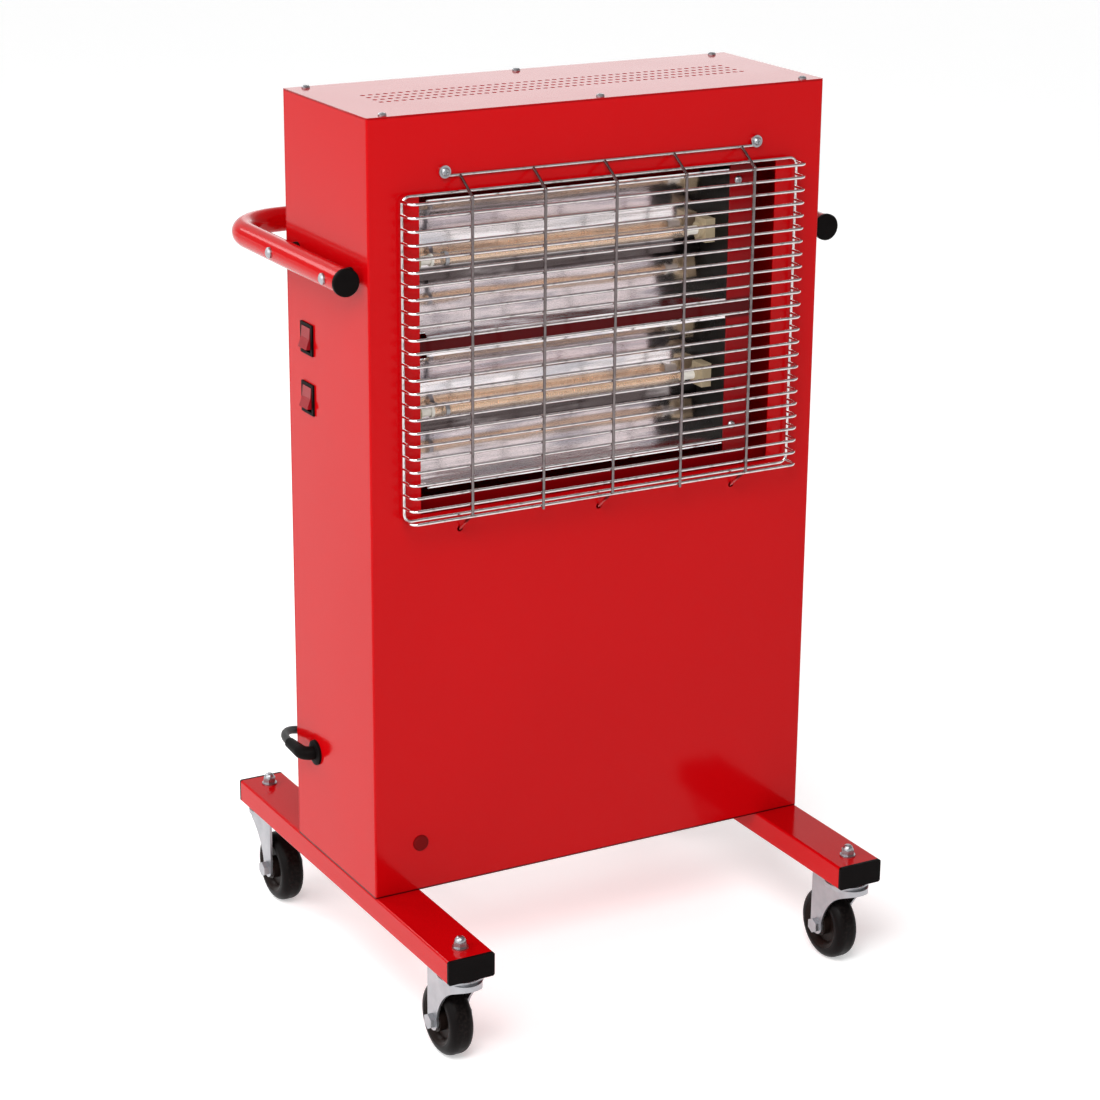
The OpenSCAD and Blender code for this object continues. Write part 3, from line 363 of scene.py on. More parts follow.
@dataclass(frozen=True)
class ShadedWire(BrightWire):
    """Wire darkened as painted shade, with a painted highlight at its foot."""

    foot_z: float = 0.0
    foot_h: float = 12.0 * MM
    fade: float = 1.5
    # Painted highlight: the colour of the wire's foot.
    bright: Colour = (0.80, 0.75, 0.75)

    def colour(self, net: Net, at: Sock, plain: Sock) -> Sock:
        """The wire's colour, with the painted highlight up to a height over its foot."""
        up = net.part(at, "Z") - self.foot_z
        return net.blend(net.step(up, self.foot_h, self.fade * self.foot_h), self.bright, plain)


@dataclass(frozen=True)
class ZincPlate(Finish):
    """Bright zinc plate with a faint spangle and greyer patches."""

    tint: Colour = (0.47, 0.47, 0.49)
    grey: Colour = (0.30, 0.31, 0.33)
    rough: float = 0.2
    patch_scale: float = 55.0
    patch_rough: float = 0.22
    patch: float = 0.5
    spangle_scale: float = 260.0
    spangle_rough: float = 0.08
    spangle: float = 0.2
    depth: float = 0.2 * MM

    def draw(self, net: Net) -> None:
        """Draws the plate's nodes.

        Args:
            net: the tree that they go into.
        """
        at = net.place()
        cells = {"Vector": at, "Scale": self.spangle_scale}
        spangle = net.add("ShaderNodeTexVoronoi", {}, cells, out="Distance")
        patch = net.noise(at, self.patch_scale, detail=4.0)
        net.surface(
            Base_Color=net.blend(patch, self.tint, self.grey),
            Metallic=1.0,
            Roughness=self.rough + self.patch_rough * patch + self.spangle_rough * spangle,
            Normal=net.bump(patch * self.patch + spangle * self.spangle, self.depth),
        )


@dataclass(frozen=True)
class PolishedSheet(Finish):
    """Polished sheet, rolled along X and a little dented, with a band of painted shade behind
    its lamp.
    """

    lamp_z: float = 0.0
    # The tint's pink cast is painted reflection of the red cabinet and the copper lamps.
    tint: Colour = (0.97, 0.90, 0.90)
    shade: Colour = (0.50, 0.49, 0.54)
    # Painted shade: the colour of the dark band behind the lamp.
    painted_shade: Colour = (0.10, 0.08, 0.08)
    back_y: float = -24.0 * MM
    band: Span = (-27.0 * MM, -11.0 * MM)
    soft: float = 2.0 * MM
    rough: float = 0.09
    streak_scale: float = 900.0
    streak_shade: float = 0.3
    streak_rough: float = 0.05
    streak: float = 0.02
    smudge_scale: float = 60.0
    smudge_edge: Span = (0.48, 0.66)
    smudge_shade: float = 0.6
    smudge_rough: float = 0.06
    dent_scale: float = 42.0
    depth: float = 0.8 * MM
    # The worn settings make the band of painted shade patchy.
    worn_scale: float = 60.0
    worn_edge: Span = (0.2, 0.5)
    least_shaded: float = 0.6

    def draw(self, net: Net) -> None:
        """Draws the sheet's nodes.

        Args:
            net: the tree that they go into.
        """
        at = net.place()
        streak = net.noise(net.place(Grain.STREAKS), self.streak_scale, detail=3.0)
        dent = net.noise(net.place(Grain.DENTS), self.dent_scale)
        smear = net.noise(net.place(Grain.SMUDGES), self.smudge_scale, detail=3.0)
        smudge = net.step(smear, *self.smudge_edge)
        dull = smudge * self.smudge_shade + streak * self.streak_shade
        clean = net.blend(dull, self.tint, self.shade)
        net.surface(
            Base_Color=net.blend(self.stain_and_shade(net, at), clean, self.painted_shade),
            Metallic=1.0,
            Roughness=self.rough + self.streak_rough * streak + self.smudge_rough * smudge,
            Normal=net.bump(dent + streak * self.streak, self.depth),
        )

    def stain_and_shade(self, net: Net, at: Sock) -> Sock:
        """How much painted shade the sheet gets: most in a band at its back, under the lamp.

        Args:
            net: the tree.
            at: the point.

        Returns:
            The share, from 0 to 1.
        """
        z, soft = net.part(at, "Z"), self.soft
        low, high = (self.lamp_z + edge for edge in self.band)
        above = net.step(z, low - soft, low + soft)
        below = 1.0 - net.step(z, high - soft, high + soft)
        behind = net.step(net.part(at, "Y"), self.back_y - soft, self.back_y + soft)
        # Patches in the band of painted shade.
        patchy = net.noise(net.place(Grain.SHADE_PATCHES), self.worn_scale, detail=3.0)
        worn = net.step(patchy, *self.worn_edge)
        return above * below * behind * (self.least_shaded + (1.0 - self.least_shaded) * worn)


@dataclass(frozen=True)
class DullSteel(Finish):
    """Dark sheet steel, stained by the lamps' warmth."""

    tint: Colour = (0.002, 0.002, 0.002)
    stain: Colour = (0.014, 0.013, 0.010)
    metal: float = 0.5
    shine: float = 0.15
    rough: float = 0.38
    stain_scale: float = 30.0
    stain_rough: float = 0.25
    grain_scale: float = 420.0
    grain: float = 0.1 * MM

    def draw(self, net: Net) -> None:
        """Draws the steel's nodes.

        Args:
            net: the tree that they go into.
        """
        at = net.place()
        stain_and_shade = net.noise(at, self.stain_scale, detail=4.0)
        net.surface(
            Base_Color=net.blend(stain_and_shade, self.tint, self.stain),
            Metallic=self.metal,
            Specular_IOR_Level=self.shine,
            Roughness=self.rough + self.stain_rough * stain_and_shade,
            Normal=net.bump(net.noise(at, self.grain_scale), self.grain),
        )


@dataclass(frozen=True)
class GoldQuartz(Finish):
    """Clear quartz tube with a thin gold coat."""

    tint: Colour = (1.0, 0.91, 0.80)
    deep: Colour = (1.0, 0.83, 0.68)
    coat_scale: float = 90.0
    rough: float = 0.03
    haze_scale: float = 300.0
    haze_rough: float = 0.05
    ior: float = 1.45
    clear: float = 0.9

    def draw(self, net: Net) -> None:
        """Draws the quartz's nodes.

        Args:
            net: the tree that they go into.
        """
        at = net.place(Grain.STREAKS)
        net.surface(
            Base_Color=net.blend(net.noise(at, self.coat_scale), self.tint, self.deep),
            Roughness=self.rough + self.haze_rough * net.noise(at, self.haze_scale),
            IOR=self.ior,
            Transmission_Weight=self.clear,
        )


@dataclass(frozen=True)
class WoundWire(Finish):
    """Resistance wire, browned by heat."""

    tint: Colour = (1.0, 0.86, 0.68)
    brown: Colour = (1.0, 0.74, 0.54)
    worn_scale: float = 240.0
    rough: float = 0.18
    worn_rough: float = 0.2

    def draw(self, net: Net) -> None:
        """Draws the wire's nodes.

        Args:
            net: the tree that they go into.
        """
        worn = net.noise(net.place(), self.worn_scale)
        net.surface(
            Base_Color=net.blend(worn, self.tint, self.brown),
            Metallic=1.0,
            Roughness=self.rough + self.worn_rough * worn,
        )


@dataclass(frozen=True)
class Ceramic(Finish):
    """Unglazed ceramic with fine grain and pale wear."""

    tint: Colour = (0.30, 0.22, 0.13)
    pale: Colour = (0.50, 0.42, 0.28)
    patch_scale: float = 70.0
    rough: float = 0.55
    grain_scale: float = 900.0
    grain_rough: float = 0.25
    grain: float = 0.15 * MM

    def draw(self, net: Net) -> None:
        """Draws the ceramic's nodes.

        Args:
            net: the tree that they go into.
        """
        at = net.place()
        grain = net.noise(at, self.grain_scale, detail=3.0)
        patch = net.noise(at, self.patch_scale, detail=3.0)
        net.surface(
            Base_Color=net.blend(patch, self.tint, self.pale),
            Roughness=self.rough + self.grain_rough * grain,
            Normal=net.bump(grain, self.grain),
        )


@dataclass(frozen=True)
class Moulding(Finish):
    """Moulded plastic with a fine spark-eroded grain."""

    tint: Colour = (0.0022, 0.0015, 0.0015)
    pale: Colour = (0.005, 0.004, 0.004)
    shine: float = 0.035
    rough: float = 0.38
    cloud_scale: float = 60.0
    cloud_rough: float = 0.12
    grain_scale: float = 1600.0
    grain_rough: float = 0.08
    grain: float = 0.08 * MM

    def draw(self, net: Net) -> None:
        """Draws the plastic's nodes.

        Args:
            net: the tree that they go into.
        """
        at = net.place()
        cloud = net.noise(at, self.cloud_scale, detail=3.0)
        grain = net.noise(at, self.grain_scale)
        net.surface(
            Base_Color=net.blend(cloud, self.tint, self.pale),
            Roughness=self.rough + self.cloud_rough * cloud + self.grain_rough * grain,
            Specular_IOR_Level=self.shine,
            Normal=net.bump(grain, self.grain),
        )


@dataclass(frozen=True)
class CordSheath(Finish):
    """Black flexible sheath of a mains lead, faintly dusty."""

    tint: Colour = (0.005, 0.005, 0.005)
    dust: Colour = (0.014, 0.013, 0.013)
    shine: float = 0.3
    rough: float = 0.36
    dust_scale: float = 45.0
    dust_rough: float = 0.22
    grain_scale: float = 800.0
    grain: float = 0.08 * MM

    def draw(self, net: Net) -> None:
        """Draws the sheath's nodes.

        Args:
            net: the tree that they go into.
        """
        at = net.place()
        dust = net.noise(at, self.dust_scale, detail=4.0)
        net.surface(
            Base_Color=net.blend(dust, self.tint, self.dust),
            Roughness=self.rough + self.dust_rough * dust,
            Specular_IOR_Level=self.shine,
            Normal=net.bump(net.noise(at, self.grain_scale), self.grain),
        )


@dataclass(frozen=True)
class WheelRubber(Finish):
    """A wheel's dark tread, dusty where it rolls, round a brownish disc."""

    centre: Point = (0.0, 0.0, 0.0)
    across_axle: Point = (0.0, 1.0, 1.0)
    rim: float = 26.5 * MM
    rim_edge: float = 0.4 * MM
    tread: float = 37.5 * MM
    worn: Span = (2.0 * MM, 0.3 * MM)
    tint: Colour = (0.0035, 0.0025, 0.0025)
    disc: Colour = (0.010, 0.006, 0.005)
    dust: Colour = (0.012, 0.009, 0.008)
    dusty: float = 0.7
    shine: float = 0.06
    rough: float = 0.3
    grit_scale: float = 330.0
    grit_edge: Span = (0.42, 0.7)
    grit_rough: float = 0.14
    worn_rough: float = 0.16
    grit: float = 0.15
    rim_h: float = 2.0
    depth: float = 0.2 * MM

    def draw(self, net: Net) -> None:
        """Draws the wheel's nodes from the distance to its axle.

        Args:
            net: the tree that they go into.
        """
        at = net.place()
        off = net.vector("SUBTRACT", at, self.centre)
        away = net.vector("LENGTH", net.vector("MULTIPLY", off, self.across_axle), out="Value")
        grit = net.noise(at, self.grit_scale, detail=4.0)
        outer = net.step(away, self.rim - self.rim_edge, self.rim + self.rim_edge)
        start, end = (self.tread - inset for inset in self.worn)
        rolled = net.step(away, start, end) * net.step(grit, *self.grit_edge)
        rubber = net.blend(rolled * self.dusty, self.tint, self.dust)
        net.surface(
            Base_Color=net.blend(outer, self.disc, rubber),
            Roughness=self.rough + self.grit_rough * grit + self.worn_rough * rolled,
            Specular_IOR_Level=self.shine,
            Normal=net.bump(grit * self.grit + outer * self.rim_h, self.depth),
        )


@dataclass(frozen=True)
class PaleFloor(Finish):
    """A plain pale studio floor."""

    tint: Colour = (0.86, 0.86, 0.86)
    glow: float = 0.44
    rough: float = 0.9

    def draw(self, net: Net) -> None:
        """Draws the floor's nodes."""
        net.surface(
            Base_Color=self.tint, Roughness=self.rough, Specular_IOR_Level=0.0,
            Emission_Color=self.tint, Emission_Strength=self.glow,
        )


RED_COAT = PowderCoat("red_powder_coat")
TUBE_COAT = PowderCoat("red_tube_coat", wave=0.12)
# A darker copy of the red coat for the top plate: painted shade, taking back the light that
# falls on the top.
SHADED_TOP_COAT = PowderCoat("shaded_red_top_coat", red=(0.32, 0.0010, 0.0030), deep=(0.28, 0.0008, 0.0024))
BRIGHT_WIRE = BrightWire("bright_wire")
ZINC_PLATE = ZincPlate("zinc_plate")
DULL_STEEL = DullSteel("dull_end_plates")
GOLD_QUARTZ = GoldQuartz("gold_quartz")
WOUND_WIRE = WoundWire("lamp_winding_wire")
TAN_CERAMIC = Ceramic("tan_ceramic")
WHITE_CERAMIC = Ceramic("white_ceramic", tint=(0.74, 0.70, 0.62), pale=(0.86, 0.84, 0.78))
BLACK_MOULDING = Moulding("black_moulding")
ROCKER_RED = Moulding(
    "rocker_red", tint=(0.20, 0.003, 0.007), pale=(0.25, 0.006, 0.010),
    rough=0.14, grain=0.02 * MM, shine=0.22,
)
PLUG_RED = Moulding(
    "dark_red_plug", tint=(0.10, 0.002, 0.003), pale=(0.15, 0.004, 0.004), rough=0.42
)
CORD_SHEATH = CordSheath("cord_sheath")
PALE_FLOOR = PaleFloor("pale_floor")


class Wardrobe:
    """Keeps one material for each finish."""

    def __init__(self) -> None:
        """Starts with no material made."""
        self.made: dict[str, bpy.types.Material] = {}

    def material(self, finish: Finish) -> bpy.types.Material:
        """The finish's material, made when first asked for.

        Args:
            finish: the finish.

        Returns:
            The material.
        """
        if finish.name not in self.made:
            self.made[finish.name] = finish.material()
        return self.made[finish.name]

    def dress(self, finish: Finish, *nodes: str) -> None:
        """Gives a finish to CAD nodes.

        Args:
            finish: the finish.
            nodes: the names of the nodes that it goes on.
        """
        for name in nodes:
            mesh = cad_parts[name].data
            mesh.materials.clear()
            mesh.materials.append(self.material(finish))
            LOG.info("%s: %s", name, finish.name)


@dataclass
class Cabinet:
    """The sheet-steel cabinet with its plates and fasteners."""

    walls: tuple[str, ...] = ("cabinet_shell", "back_panel")
    fasteners: tuple[str, ...] = ("back_screws", "top_screws", "base_bolts", "base_nuts")

    def dress(self, wardrobe: Wardrobe) -> None:
        """Gives the cabinet its finishes.

        Args:
            wardrobe: the finishes' materials.
        """
        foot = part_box("cabinet_shell")[0][2]
        # The walls get a thin line of painted shade along their foot, where they sit on the
        # rails.
        wardrobe.dress(ShadedFootCoat("red_wall_coat", foot_z=foot), *self.walls)
        wardrobe.dress(RED_COAT, "base_plate")
        wardrobe.dress(ZINC_PLATE, *self.fasteners)
        wardrobe.dress(PLUG_RED, "front_plug")


@dataclass
class VentedTop:
    """The top plate with its straight rows of vent holes."""

    rows: int = 4
    columns: int = 51
    pitch: Spot = (8.0 * MM, 13.4 * MM)
    hole_d: float = 5.0 * MM
    screws: Spot = (230.0 * MM, 84.0 * MM)
    screw_hole_d: float = 4.4 * MM
    corner_r: float = 2.0 * MM
    sides: int = 24

    def dress(self, wardrobe: Wardrobe) -> None:
        """Cuts the plate from a flat outline with holes and puts it on the cabinet.

        Args:
            wardrobe: the finishes' materials.
        """
        low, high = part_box("top_plate")
        curve = bpy.data.curves.new("vented_top", "CURVE")
        curve.dimensions = "2D"
        curve.fill_mode = "BOTH"
        curve.extrude = (high[2] - low[2]) / 2
        self.cut(curve, self.edge(low, high))
        for spot in self.vents():
            self.cut(curve, self.circle(spot, self.hole_d))
        for x in (-self.screws[0], 0.0, self.screws[0]):
            for y in (-self.screws[1], self.screws[1]):
                self.cut(curve, self.circle((x, y), self.screw_hole_d))
        # The top plate gets the darker copy of the red coat: painted shade.
        coat, level = wardrobe.material(SHADED_TOP_COAT), (low[2] + high[2]) / 2
        piece = add_piece("vented_top", curve, coat, level=level)
        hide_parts("top_plate")

    def vents(self) -> list[Spot]:
        """The middles of the vent holes.

        Returns:
            The middles, row by row.
        """
        wide, deep = self.pitch
        return [
            ((column - (self.columns - 1) / 2) * wide, (row - (self.rows - 1) / 2) * deep)
            for row in range(self.rows)
            for column in range(self.columns)
        ]

    def edge(self, low: Point, high: Point) -> list[Spot]:
        """The plate's outline, with its front corners rounded.

        Args:
            low: the low corner of its box.
            high: the high corner of its box.

        Returns:
            The outline's points, in order.
        """
        r, n = self.corner_r, self.sides // 4
        turns = [math.pi / 2 * k / n for k in range(n + 1)]
        left = [(low[0] + r - r * math.cos(a), low[1] + r - r * math.sin(a)) for a in turns]
        right = [(high[0] - r + r * math.sin(a), low[1] + r - r * math.cos(a)) for a in turns]
        return left + right + [(high[0], high[1]), (low[0], high[1])]

    def circle(self, middle: Spot, across: float) -> list[Spot]:
        """The outline of a round hole.

        Args:
            middle: its middle.
            across: its diameter.

        Returns:
            The outline's points, in order.
        """
        r, (x, y) = across / 2, middle
        turns = [2 * math.pi * k / self.sides for k in range(self.sides)]
        return [(x + r * math.cos(a), y + r * math.sin(a)) for a in turns]

    @staticmethod
    def cut(curve: bpy.types.Curve, outline: list[Spot]) -> None:
        """Adds a closed outline to a flat curve.

        Args:
            curve: the curve.
            outline: the outline's points, in order.
        """
        spline = curve.splines.new("POLY")
        spline.points.add(len(outline) - 1)
        for point, (x, y) in zip(spline.points, outline):
            point.co = (x, y, 0.0, 1.0)
        spline.use_cyclic_u = True


@dataclass
class Guard:
    """The wire guard in front of the window."""

    wires: tuple[str, ...] = ("guard_ring", "guard_bars", "guard_rod")
    # The uprights' greys are darker copies of the bright wire: painted shade.
    grey: Colour = (0.19, 0.16, 0.16)
    grey_spot: Colour = (0.12, 0.10, 0.10)

    def dress(self, wardrobe: Wardrobe) -> None:
        """Gives the guard its finishes.

        Args:
            wardrobe: the finishes' materials.
        """
        wardrobe.dress(BRIGHT_WIRE, *self.wires)
        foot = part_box("guard_uprights")[0][2]
        grey = ShadedWire("shaded_upright_wire", tint=self.grey, spot=self.grey_spot, foot_z=foot)
        wardrobe.dress(grey, "guard_uprights")
        wardrobe.dress(ZINC_PLATE, "guard_screws")


@dataclass
class HeatingElements:
    """The reflectors and lamps, with a wound wire in each lamp."""

    levels: tuple[str, ...] = ("upper", "lower")
    # The carrier's reds are darker copies of the red coat: painted shade for a frame recessed
    # behind the guard.
    carrier_shaded_red: Colour = (0.26, 0.0008, 0.003)
    carrier_shaded_deep: Colour = (0.19, 0.0006, 0.002)
    winding_r: float = 1.7 * MM
    wire_d: float = 0.9 * MM
    pitch: float = 2.6 * MM
    steps: int = 12
    wire_roundness: int = 1

    def dress(self, wardrobe: Wardrobe) -> None:
        """Gives the elements their finishes and winds the lamps' wires.

        Args:
            wardrobe: the finishes' materials.
        """
        heights = {level: self.lamp_middle(level).z for level in self.levels}
        for level, height in heights.items():
            sheet = PolishedSheet(f"{level}_reflector_sheet", lamp_z=height)
            wardrobe.dress(sheet, f"{level}_reflector")
            wardrobe.dress(GOLD_QUARTZ, f"{level}_lamp")
        # The carrier's coat also gets a band of painted shade between the two lamps.
        carrier = ShadedMiddleCoat(
            "shaded_red_coat", red=self.carrier_shaded_red, deep=self.carrier_shaded_deep,
            middle_z=sum(heights.values()) / len(heights),
        )
        wardrobe.dress(carrier, "element_carrier")
        wardrobe.dress(ZINC_PLATE, "carrier_screws", "lamp_clips")
        wardrobe.dress(DULL_STEEL, "reflector_ends")
        wardrobe.dress(WHITE_CERAMIC, "lamp_caps", "terminal_block")
        wardrobe.dress(TAN_CERAMIC, "lamp_holders")
        self.wind(wardrobe)

    @staticmethod
    def lamp_middle(level: str) -> Vector:
        """The middle of a lamp."""
        low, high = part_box(f"{level}_lamp")
        return (Vector(low) + Vector(high)) / 2

    def wind(self, wardrobe: Wardrobe) -> None:
        """Winds a wire along the middle of each lamp, in place of the plain filaments.

        Args:
            wardrobe: the finishes' materials.
        """
        curve = bpy.data.curves.new("lamp_windings", "CURVE")
        curve.dimensions = "3D"
        curve.bevel_depth = self.wire_d / 2
        curve.bevel_resolution = self.wire_roundness
        curve.use_fill_caps = True
        for level in self.levels:
            low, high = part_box(f"{level}_lamp")
            middle, length = self.lamp_middle(level), high[0] - low[0]
            count = int(length / self.pitch) * self.steps
            spline = curve.splines.new("POLY")
            spline.points.add(count)
            for k, point in enumerate(spline.points):
                angle = 2 * math.pi * k / self.steps
                point.co = (
                    low[0] + length * k / count,
                    middle.y + self.winding_r * math.cos(angle),
                    middle.z + self.winding_r * math.sin(angle),
                    1.0,
                )
        piece = add_piece("lamp_windings", curve, wardrobe.material(WOUND_WIRE))
        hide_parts("filaments")


@dataclass
class Handle:
    """The push handle round the back."""

    fittings: tuple[str, ...] = ("handle_caps", "handle_spacers")
    fasteners: tuple[str, ...] = ("handle_bolts", "handle_nuts")

    def dress(self, wardrobe: Wardrobe) -> None:
        """Gives the handle its finishes.

        Args:
            wardrobe: the finishes' materials.
        """
        wardrobe.dress(TUBE_COAT, "handle_tube")
        wardrobe.dress(BLACK_MOULDING, *self.fittings)
        wardrobe.dress(ZINC_PLATE, *self.fasteners)


@dataclass
class Switches:
    """The two rocker switches on the left side."""

    levels: tuple[str, ...] = ("upper", "lower")

    def dress(self, wardrobe: Wardrobe) -> None:
        """Gives the switches their finishes.

        Args:
            wardrobe: the finishes' materials.
        """
        for level in self.levels:
            wardrobe.dress(BLACK_MOULDING, f"{level}_switch")
            wardrobe.dress(ROCKER_RED, f"{level}_rocker")


@dataclass
class Feet:
    """The foot rails and the castors under them."""

    corners: tuple[str, ...] = ("fl", "fr", "rl", "rr")

    def dress(self, wardrobe: Wardrobe) -> None:
        """Gives the feet and castors their finishes.

        Args:
            wardrobe: the finishes' materials.
        """
        wardrobe.dress(RED_COAT, "left_rail", "right_rail")
        wardrobe.dress(BLACK_MOULDING, "rail_caps")
        wardrobe.dress(ZINC_PLATE, "castor_stems", "stem_washers", "dome_nuts")
        for corner in self.corners:
            low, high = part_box(f"wheel_{corner}")
            middle = tuple((a + b) / 2 for a, b in zip(low, high))
            wardrobe.dress(ZINC_PLATE, f"fork_{corner}", f"axle_{corner}")
            rubber = WheelRubber(f"wheel_rubber_{corner}", centre=middle)
            wardrobe.dress(rubber, f"wheel_{corner}")


@dataclass
class MainsLead:
    """The lead, from its boot round the cabinet's rear corner to a tied coil and its plug.

    Its sizes are in millimetres. The points of its free stretches are given from a base:
    the bow's from the boot's X and Z and the back's Y, the run's from the coil's start, the
    tail's from the end of the last loop, and the plug end's from there at the plug's height.
    """

    cord_d: float = 8.5
    loop_gap: float = 0.8
    boot: Point = (-263.5, 81.0, 232.0)
    y_back: float = 92.0
    bow: tuple[Point, ...] = (
        (3.0, 7.0, -0.5), (10.5, 21.5, -2.0), (23.5, 33.0, -6.0), (43.5, 39.5, -14.0),
        (62.0, 39.0, -27.0), (90.5, 37.0, -48.0), (119.0, 36.0, -86.0), (145.0, 42.0, -126.0),
        (163.0, 60.0, -164.0),
    )
    run: tuple[Point, ...] = (
        (-4.0, -122.0, 32.75), (-1.0, -84.0, 16.0), (0.0, -46.0, 4.0), (0.0, -24.0, 0.0),
        (0.0, -10.0, 0.0),
    )
    tail: tuple[Point, ...] = ((30.0, -4.0, 1.0), (62.0, -20.0, 3.0))
    plug_end: tuple[Point, ...] = ((92.0, -37.0, 0.0), (104.0, -42.0, 0.0), (115.0, -46.4, 0.0))
    plug_d: float = 38.0
    coil: Spot = (-30.0, 306.0)
    coil_r: float = 38.0
    turns: float = 2.0
    step_up: float = 0.5
    top_turns: float = 1.75
    dip: float = 3.5
    tie_t: float = 1.0
    tie_w: float = 12.0
    tie_turn: float = 225.0
    tie_r: Span = (4.0, 3.0)
    tie_steps: int = 5
    loop_steps: int = 32
    stretch_steps: int = 6
    roundness: int = 4

    @property
    def pitch(self) -> float:
        """Distance between neighbouring loops of the coil."""
        return self.cord_d + self.loop_gap

    @property
    def coil_z(self) -> float:
        """Height of the coil's lower layer."""
        return self.tie_t + self.cord_d / 2

    @staticmethod
    def placed(base: Point, steps: tuple[Point, ...]) -> list[Vector]:
        """Points that are given from a base."""
        return [Vector([b + s for b, s in zip(base, step)]) for step in steps]

    def lead_points(self) -> list[Vector]:
        """The points of the stretch from the boot to the coil.

        Returns:
            The points, in millimetres.
        """
        x, _, z = self.boot
        start = (self.coil[0] - self.coil_r - self.turns * self.pitch, self.coil[1], self.coil_z)
        bow = self.placed((x, self.y_back, z), self.bow)
        return [Vector(self.boot), *bow, *self.placed(start, self.run)]

    def tail_points(self) -> list[Vector]:
        """The points from the last loop to the plug.

        Returns:
            The points, in millimetres.
        """
        x, y = self.coil[0], self.coil[1] + self.coil_r + self.top_turns * self.pitch
        tail = self.placed((x, y, self.coil_z + self.pitch), self.tail)
        return tail + self.placed((x, y, self.plug_d / 2), self.plug_end)

    def coil_spot(self, t: float) -> Vector:
        """A point of the coil.

        Args:
            t: how many loops it has gone round.

        Returns:
            The point, in millimetres.
        """
        if t < self.turns:
            r, up = self.coil_r + (self.turns - t) * self.pitch, 0.0
        elif t < self.turns + self.step_up:
            swing = math.pi * (t - self.turns) / self.step_up
            r = self.coil_r - self.dip * math.sin(swing)
            up = self.pitch * (1 - math.cos(swing)) / 2
        else:
            r, up = self.coil_r + (t - self.turns - self.step_up) * self.pitch, self.pitch
        angle = math.pi - 2 * math.pi * t
        x, y = self.coil
        return Vector((x + r * math.cos(angle), y + r * math.sin(angle), self.coil_z + up))

    @staticmethod
    def smooth(points: list[Vector], steps: int) -> list[Vector]:
        """A smooth line through points.

        Args:
            points: the points.
            steps: how many steps each stretch gets.

        Returns:
            The line's points, both ends included.
        """
        line = []
        for i in range(len(points) - 1):
            b, c = points[i], points[i + 1]
            a = points[i - 1] if i else 2 * b - c
            d = points[i + 2] if i + 2 < len(points) else 2 * c - b
            for k in range(steps):
                t = k / steps
                line.append(0.5 * (
                    2 * b + (c - a) * t + (2 * a - 5 * b + 4 * c - d) * t * t
                    + (3 * b - a - 3 * c + d) * t ** 3
                ))
        return line + [points[-1]]

    def route(self) -> list[Vector]:
        """The whole lead's middle line.

        Returns:
            Its points, in metres.
        """
        count = round((self.turns + self.step_up + self.top_turns) * self.loop_steps)
        spots = [self.coil_spot(k / self.loop_steps) for k in range(count + 1)]
        line = self.smooth(self.lead_points(), self.stretch_steps) + spots
        line += self.smooth([spots[-1]] + self.tail_points(), self.stretch_steps)[1:]
        return [p * MM for p in line]

    def dress(self, wardrobe: Wardrobe) -> None:
        """Lays the lead, ties its coil and gives its fittings their finishes.

        Args:
            wardrobe: the finishes' materials.
        """
        wardrobe.dress(BLACK_MOULDING, "strain_relief", "gland_nut", "plug")
        wardrobe.dress(ZINC_PLATE, "plug_pins")
        tie = self.tie(wardrobe)
        self.lay(wardrobe)

    def lay(self, wardrobe: Wardrobe) -> None:
        """Lays the lead as one round cord along its route.

        Args:
            wardrobe: the finishes' materials.
        """
        route = self.route()
        curve = bpy.data.curves.new("mains_lead", "CURVE")
        curve.dimensions = "3D"
        curve.bevel_depth = self.cord_d / 2 * MM
        curve.bevel_resolution = self.roundness
        curve.use_fill_caps = True
        spline = curve.splines.new("POLY")
        spline.points.add(len(route) - 1)
        for point, at in zip(spline.points, route):
            point.co = (*at, 1.0)
        spline.use_smooth = True
        lead = add_piece("mains_lead", curve, wardrobe.material(CORD_SHEATH))
        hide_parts("cord_lead", "cord_coil")
        length = sum((b - a).length for a, b in zip(route, route[1:]))
        LOG.info("mains_lead: %.3f m", length)

    def tie(self, wardrobe: Wardrobe) -> bpy.types.Object:
        """Makes the strap round the coil's loops, with rounded corners.

        Args:
            wardrobe: the finishes' materials.

        Returns:
            The strap.
        """
        t, (outer_r, inner_r) = self.tie_t, self.tie_r
        low = self.coil_r - self.cord_d / 2
        high = self.coil_r + self.turns * self.pitch + self.cord_d / 2
        top = self.cord_d + self.pitch + 2 * t
        outer = rounded(low - t, high + t, 0.0, top, outer_r, self.tie_steps)
        inner = rounded(low, high, t, top - t, inner_r, self.tie_steps)
        mesh = band("coil_tie", outer, inner, self.tie_w)
        turn = Euler((0, 0, math.radians(self.tie_turn))).to_matrix().to_4x4()
        mesh.transform(turn)
        mesh.transform(turn.Translation((*self.coil, 0.0)))
        mesh.transform(turn.Scale(MM, 4))
        piece = add_piece("coil_tie", mesh, wardrobe.material(BLACK_MOULDING))
        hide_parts("cord_tie")
        return piece


def rounded(x0: float, x1: float, z0: float, z1: float, r: float, n: int) -> list[Spot]:
    """A rectangle with round corners.

    Args:
        x0: its left side.
        x1: its right side.
        z0: its foot.
        z1: its top.
        r: the radius of its corners.
        n: the steps in a corner.

    Returns:
        Its points, in order.
    """
    middles = ((x1 - r, z1 - r), (x0 + r, z1 - r), (x0 + r, z0 + r), (x1 - r, z0 + r))
    turns = [[math.pi / 2 * (corner + k / n) for k in range(n + 1)] for corner in range(4)]
    return [
        (x + r * math.cos(a), z + r * math.sin(a))
        for (x, z), corner in zip(middles, turns)
        for a in corner
    ]


